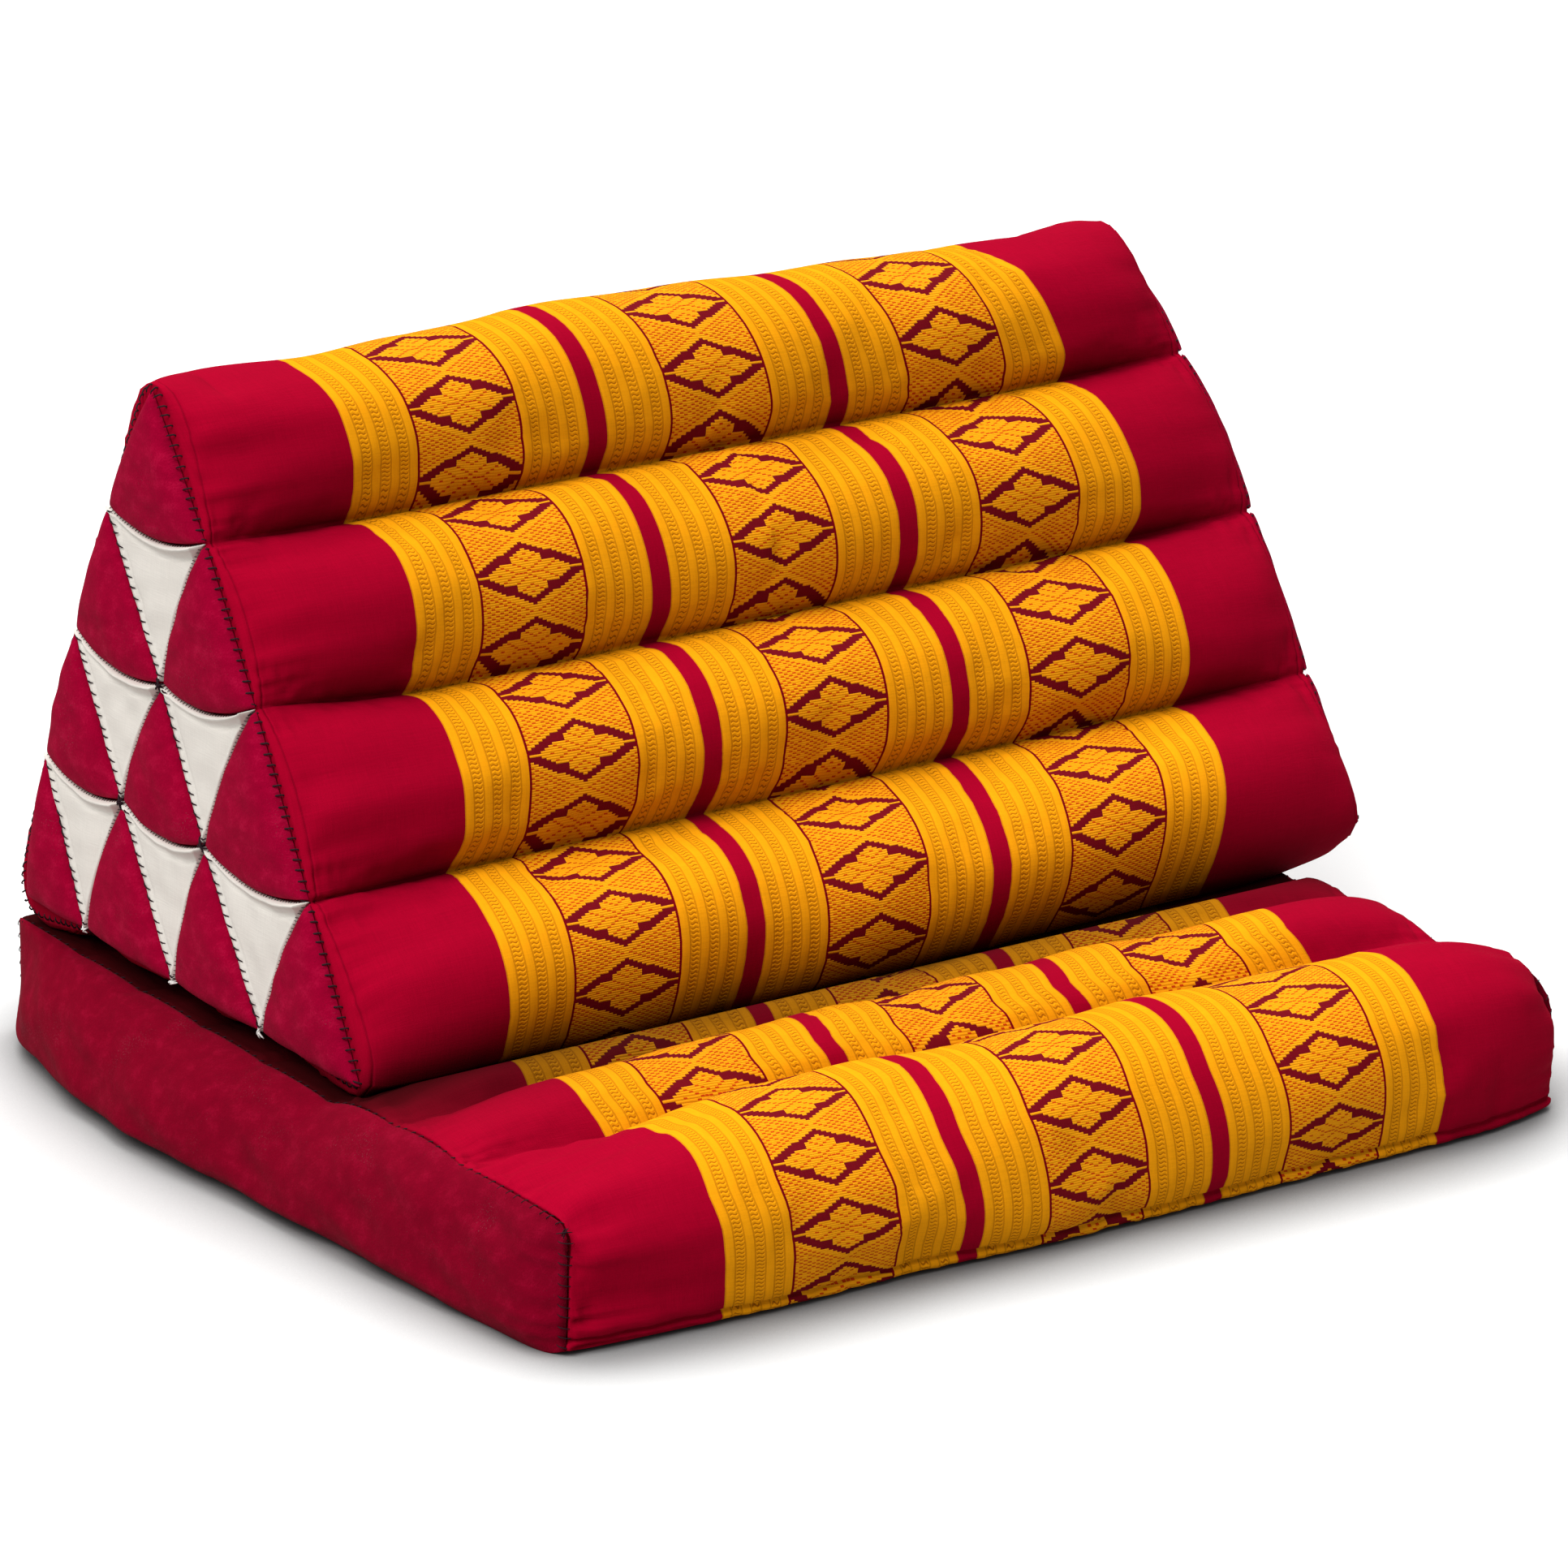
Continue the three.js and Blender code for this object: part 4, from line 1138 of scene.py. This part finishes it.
def threadTubes(name, paths, radius, material):
    count, k = paths.shape[:2]
    sides = stitch["sides"]
    tangent = unit(np.gradient(paths, axis=1))
    bend = unit(paths[:, k // 2] - (paths[:, 0] + paths[:, -1]) / 2 + 1e-9)[:, None, :]
    across = unit(np.cross(tangent, bend))
    up = np.cross(across, tangent)
    angle = np.arange(sides) * 2 * np.pi / sides
    taper = radius * np.where((np.arange(k) == 0) | (np.arange(k) == k - 1), 0.55, 1.0)
    ring = across[:, :, None] * np.cos(angle)[:, None] + up[:, :, None] * np.sin(angle)[:, None]
    rings = paths[:, :, None] + ring * taper[None, :, None, None]
    size = k * sides
    quads = []
    for i in range(k - 1):
        for m in range(sides):
            n = (m + 1) % sides
            quads.append((i * sides + m, i * sides + n, (i + 1) * sides + n, (i + 1) * sides + m))
    caps = [tuple(range(sides - 1, -1, -1)), tuple(size - sides + m for m in range(sides))]
    starts = (np.arange(count) * size)[:, None]
    faces = [tuple(f) for f in (np.array(quads)[None] + starts[..., None]).reshape(-1, 4).tolist()]
    for cap in caps:
        faces += [tuple(f) for f in (np.array(cap)[None] + starts).tolist()]
    length = np.broadcast_to((np.arange(k) * 0.8)[None, :, None], (count, k, sides))
    turn = np.broadcast_to((angle * 0.3)[None, None, :], (count, k, sides))
    perPoint = np.stack([length + np.arange(count)[:, None, None] * 3.1, turn], -1).reshape(-1, 2)
    order = [i for f in faces for i in f]
    piece = makePiece(name, rings.reshape(-1, 3), faces, material, cloth=perPoint[order])
    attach(piece, "root")


def overcast(line, inwards, outwards, lift, form):  # slanted stitches over a seam: all arrays run along its line
    s = runAlong(line)
    places = np.arange(form["pitch"] / 2, s[-1], form["pitch"])
    places = places + stitchRng.uniform(-stitch["stray"], stitch["stray"], len(places)) * form["pitch"]
    t = np.linspace(0, 1, stitch["points"])
    lean = form["lean"] * stitchRng.uniform(*stitch["leanStray"], len(places))

    def at(values, where):
        return np.stack([np.interp(where, s, values[:, k]) for k in range(3)], -1)

    where = np.clip(places[:, None] + lean[:, None] * (0.5 - t[None, :]), 0, s[-1])
    side = np.clip(1 - 2 * t, 0, 1)[None, :, None] ** 0.8
    other = np.clip(2 * t - 1, 0, 1)[None, :, None] ** 0.8
    arch = (np.sin(np.pi * t) ** 0.6 * form["lift"] - stitch["sunk"] * ((t == 0) | (t == 1)))[None, :, None]
    return at(line, where) + at(inwards, where) * side + at(outwards, where) * other + at(lift, where) * arch


stitchRng = np.random.default_rng(stitch["seed"])


def edgeFrames(outline):  # along an end outline: its line and outward directions
    line = alongLine(outline, np.linspace(0, runAlong(outline)[-1], len(outline) * 2))
    tangent = unit(np.gradient(line, axis=0))
    return line, np.stack([tangent[:, 1], -tangent[:, 0]], 1)


def lifted(height, flat):
    return np.concatenate([np.broadcast_to(np.asarray(height, float).reshape(-1, 1), (len(flat), 1)), flat], 1)


def endSeam(outline, form):
    line, outward = edgeFrames(outline)
    inwards = lifted(form["inRise"], -outward * form["in"])
    outwards = lifted(-form["over"], outward * 0.0002)
    lift = unit(lifted(0.7, outward * 0.7))
    return overcast(lifted(0.0, line), inwards, outwards, lift, form)


def knot(centre, height, count, reach):
    t = np.linspace(-1, 1, stitch["points"])
    threads = []
    for k in range(count):
        turn = stitchRng.uniform(0, np.pi)
        along = np.array((math.cos(turn), math.sin(turn))) * reach * stitchRng.uniform(0.7, 1.2)
        offset = stitchRng.uniform(-0.0006, 0.0006, 2)
        threads.append(np.concatenate([(height + (1 - t ** 2) * 0.0011 + k * 0.0002)[:, None],
                                       centre + offset + t[:, None] * along], 1))
    return threads


for side in ("left", "right"):
    outline = restSection(restEnd[side])[0]
    seam = endSeam(np.concatenate([outline, outline[:1]]), stitch["end"])
    lips, fines, knots, tufts = [], [], [], []
    for row in range(2, rest["rolls"] + 1):
        for column in range(row - 1):
            tip, top, topFront = whiteCorners(side, row, column)
            for a, b, bow, form, store in ((tip, top, 0, stitch["lip"], lips),
                                           (top, topFront, -pad["bowTop"], stitch["fine"], fines),
                                           (topFront, tip, -pad["bowSide"], stitch["fine"], fines)):
                line = bowedEdge(a, b, bow, np.linspace(0.03, 0.97, 40))
                tangent = unit(np.gradient(line, axis=0))
                outward = np.stack([tangent[:, 1], -tangent[:, 0]], 1)
                inwards = lifted(form["inRise"] - stitch["edgeRise"], -outward * form["in"])
                store.append(overcast(lifted(stitch["edgeRise"], line), inwards,
                                      lifted(-stitch["edgeSink"], outward * form["over"]), lifted(1.0, outward * 0), form))
            if row == rest["rolls"]:
                tufts += knot(tip + (0, 0.001), *stitch["tipKnot"])
    for row, column, down in stitch["threadEnds"]:
        place = mix(latticeNode(side, row - 1, column), latticeNode(side, row, column), down)
        knots += knot(place, *stitch["endKnot"])
    for row, column in stitch["knotNodes"]:
        knots += knot(latticeNode(side, row, column), *stitch["nodeKnot"])
    for label, paths, size, thread in (("EndSeamStitches", seam, "end", darkThread),
                                       ("LipStitches", np.concatenate(lips), "lip", darkThread),
                                       ("FineStitches", np.concatenate(fines), "fine", darkThread),
                                       ("Knots", np.array(knots), "knot", darkThread),
                                       ("TipThreads", np.array(tufts), "knot", paleThread)):
        threadTubes(f"{side}{label}", placeEnd(side, paths), stitch["radius"][size], thread)
    topLine, frontEnd = panelOutline(side)[1], mat["front"] + mat["endDraw"][side]
    upright = int(np.argmax(topLine[:, 0] < frontEnd + 0.004))  # where the outline turns down the corner
    cornerForm = stitch["corner" if side == "left" else "mat"]
    paths = np.concatenate([endSeam(topLine[:upright + 1], stitch["mat"]), endSeam(topLine[upright:], cornerForm)])
    if side == "left":
        corner = np.array((frontEnd, mat["cornerEnd"][side] - 0.002))
        paths = np.concatenate([paths, np.array(knot(corner, *stitch["cornerKnot"]))])
    paths[..., 0] = (-1 if side == "left" else 1) * (paths[..., 0] + matHalf + gap)
    paths[..., 2] = np.maximum(paths[..., 2], stitch["radius"]["mat"])
    threadTubes(f"{side}MatStitches", placeMat(paths), stitch["radius"]["mat"], darkThread)
print("stitches ready")


studio = {"floor": (224, 224, 223), "floorBounce": (168, 167, 166), "floorSize": 14, "sky": (0.04, 0.29), "skyRise": 0.8,
          "shadowReach": 0.065, "shadowDepth": 1.5, "glow": 0.22,
          "lights": {"key": {"from": (-0.60, -0.24, 0.76), "angle": 40, "strength": 2.65},
                     "top": {"from": (0.22, 0.36, 0.90), "angle": 45, "strength": 2.3}}}

floorMaterial, tree, shader, cloth = startMaterial("paleFloor")
seen = addNode(tree, "ShaderNodeLightPath").outputs["Is Camera Ray"]
openness = addNode(tree, "ShaderNodeAmbientOcclusion", samples=12)  # painted shadow: the floor's colour is darkened by occlusion where the cushion rests
openness.inputs["Distance"].default_value = studio["shadowReach"]
rimShade = grey(tree, calc(tree, "POWER", openness.outputs["AO"], studio["shadowDepth"]))
tint = blendColour(tree, colour(*studio["floor"]), rimShade, 1.0, "MULTIPLY")
feed(tree, shader.inputs["Base Color"], blendColour(tree, colour(*studio["floorBounce"]), tint, seen))
# painted light: the floor glows for camera rays only, less inside its painted shadow
feed(tree, shader.inputs["Emission Color"], blendColour(tree, colour(0, 0, 0), rimShade, seen))
shader.inputs["Emission Strength"].default_value = studio["glow"]
shader.inputs["Roughness"].default_value = 0.9
half = studio["floorSize"] / 2
floorCorners = np.array([(-half, -half, 0), (half, -half, 0), (half, half, 0), (-half, half, 0)])
floor = makePiece("floor", floorCorners, [(0, 1, 2, 3)], floorMaterial, cloth=np.zeros((4, 2)))

world = bpy.data.worlds.new("studio")
bpy.context.scene.world = world
world.use_nodes = True
sky = world.node_tree
background = sky.nodes["Background"]
skyward = addNode(sky, "ShaderNodeSeparateXYZ")
feed(sky, skyward.inputs[0], addNode(sky, "ShaderNodeTexCoord").outputs["Generated"])
lowSky, highSky = studio["sky"]
feed(sky, background.inputs[1], shadedRange(sky, skyward.outputs[2], 0.0, studio["skyRise"], lowSky, highSky))
background.inputs[0].default_value = (1, 1, 1, 1)
for name, settings in studio["lights"].items():
    light = bpy.data.lights.new(name, "SUN")
    light.energy, light.angle = settings["strength"], math.radians(settings["angle"])
    lamp = bpy.data.objects.new(name, light)
    lamp.rotation_euler = Vector(settings["from"]).to_track_quat("Z", "Y").to_euler()
    bpy.context.scene.collection.objects.link(lamp)
bpy.context.scene.view_settings.view_transform = "Standard"
bpy.context.scene.view_settings.look = "None"

print("scene ready")
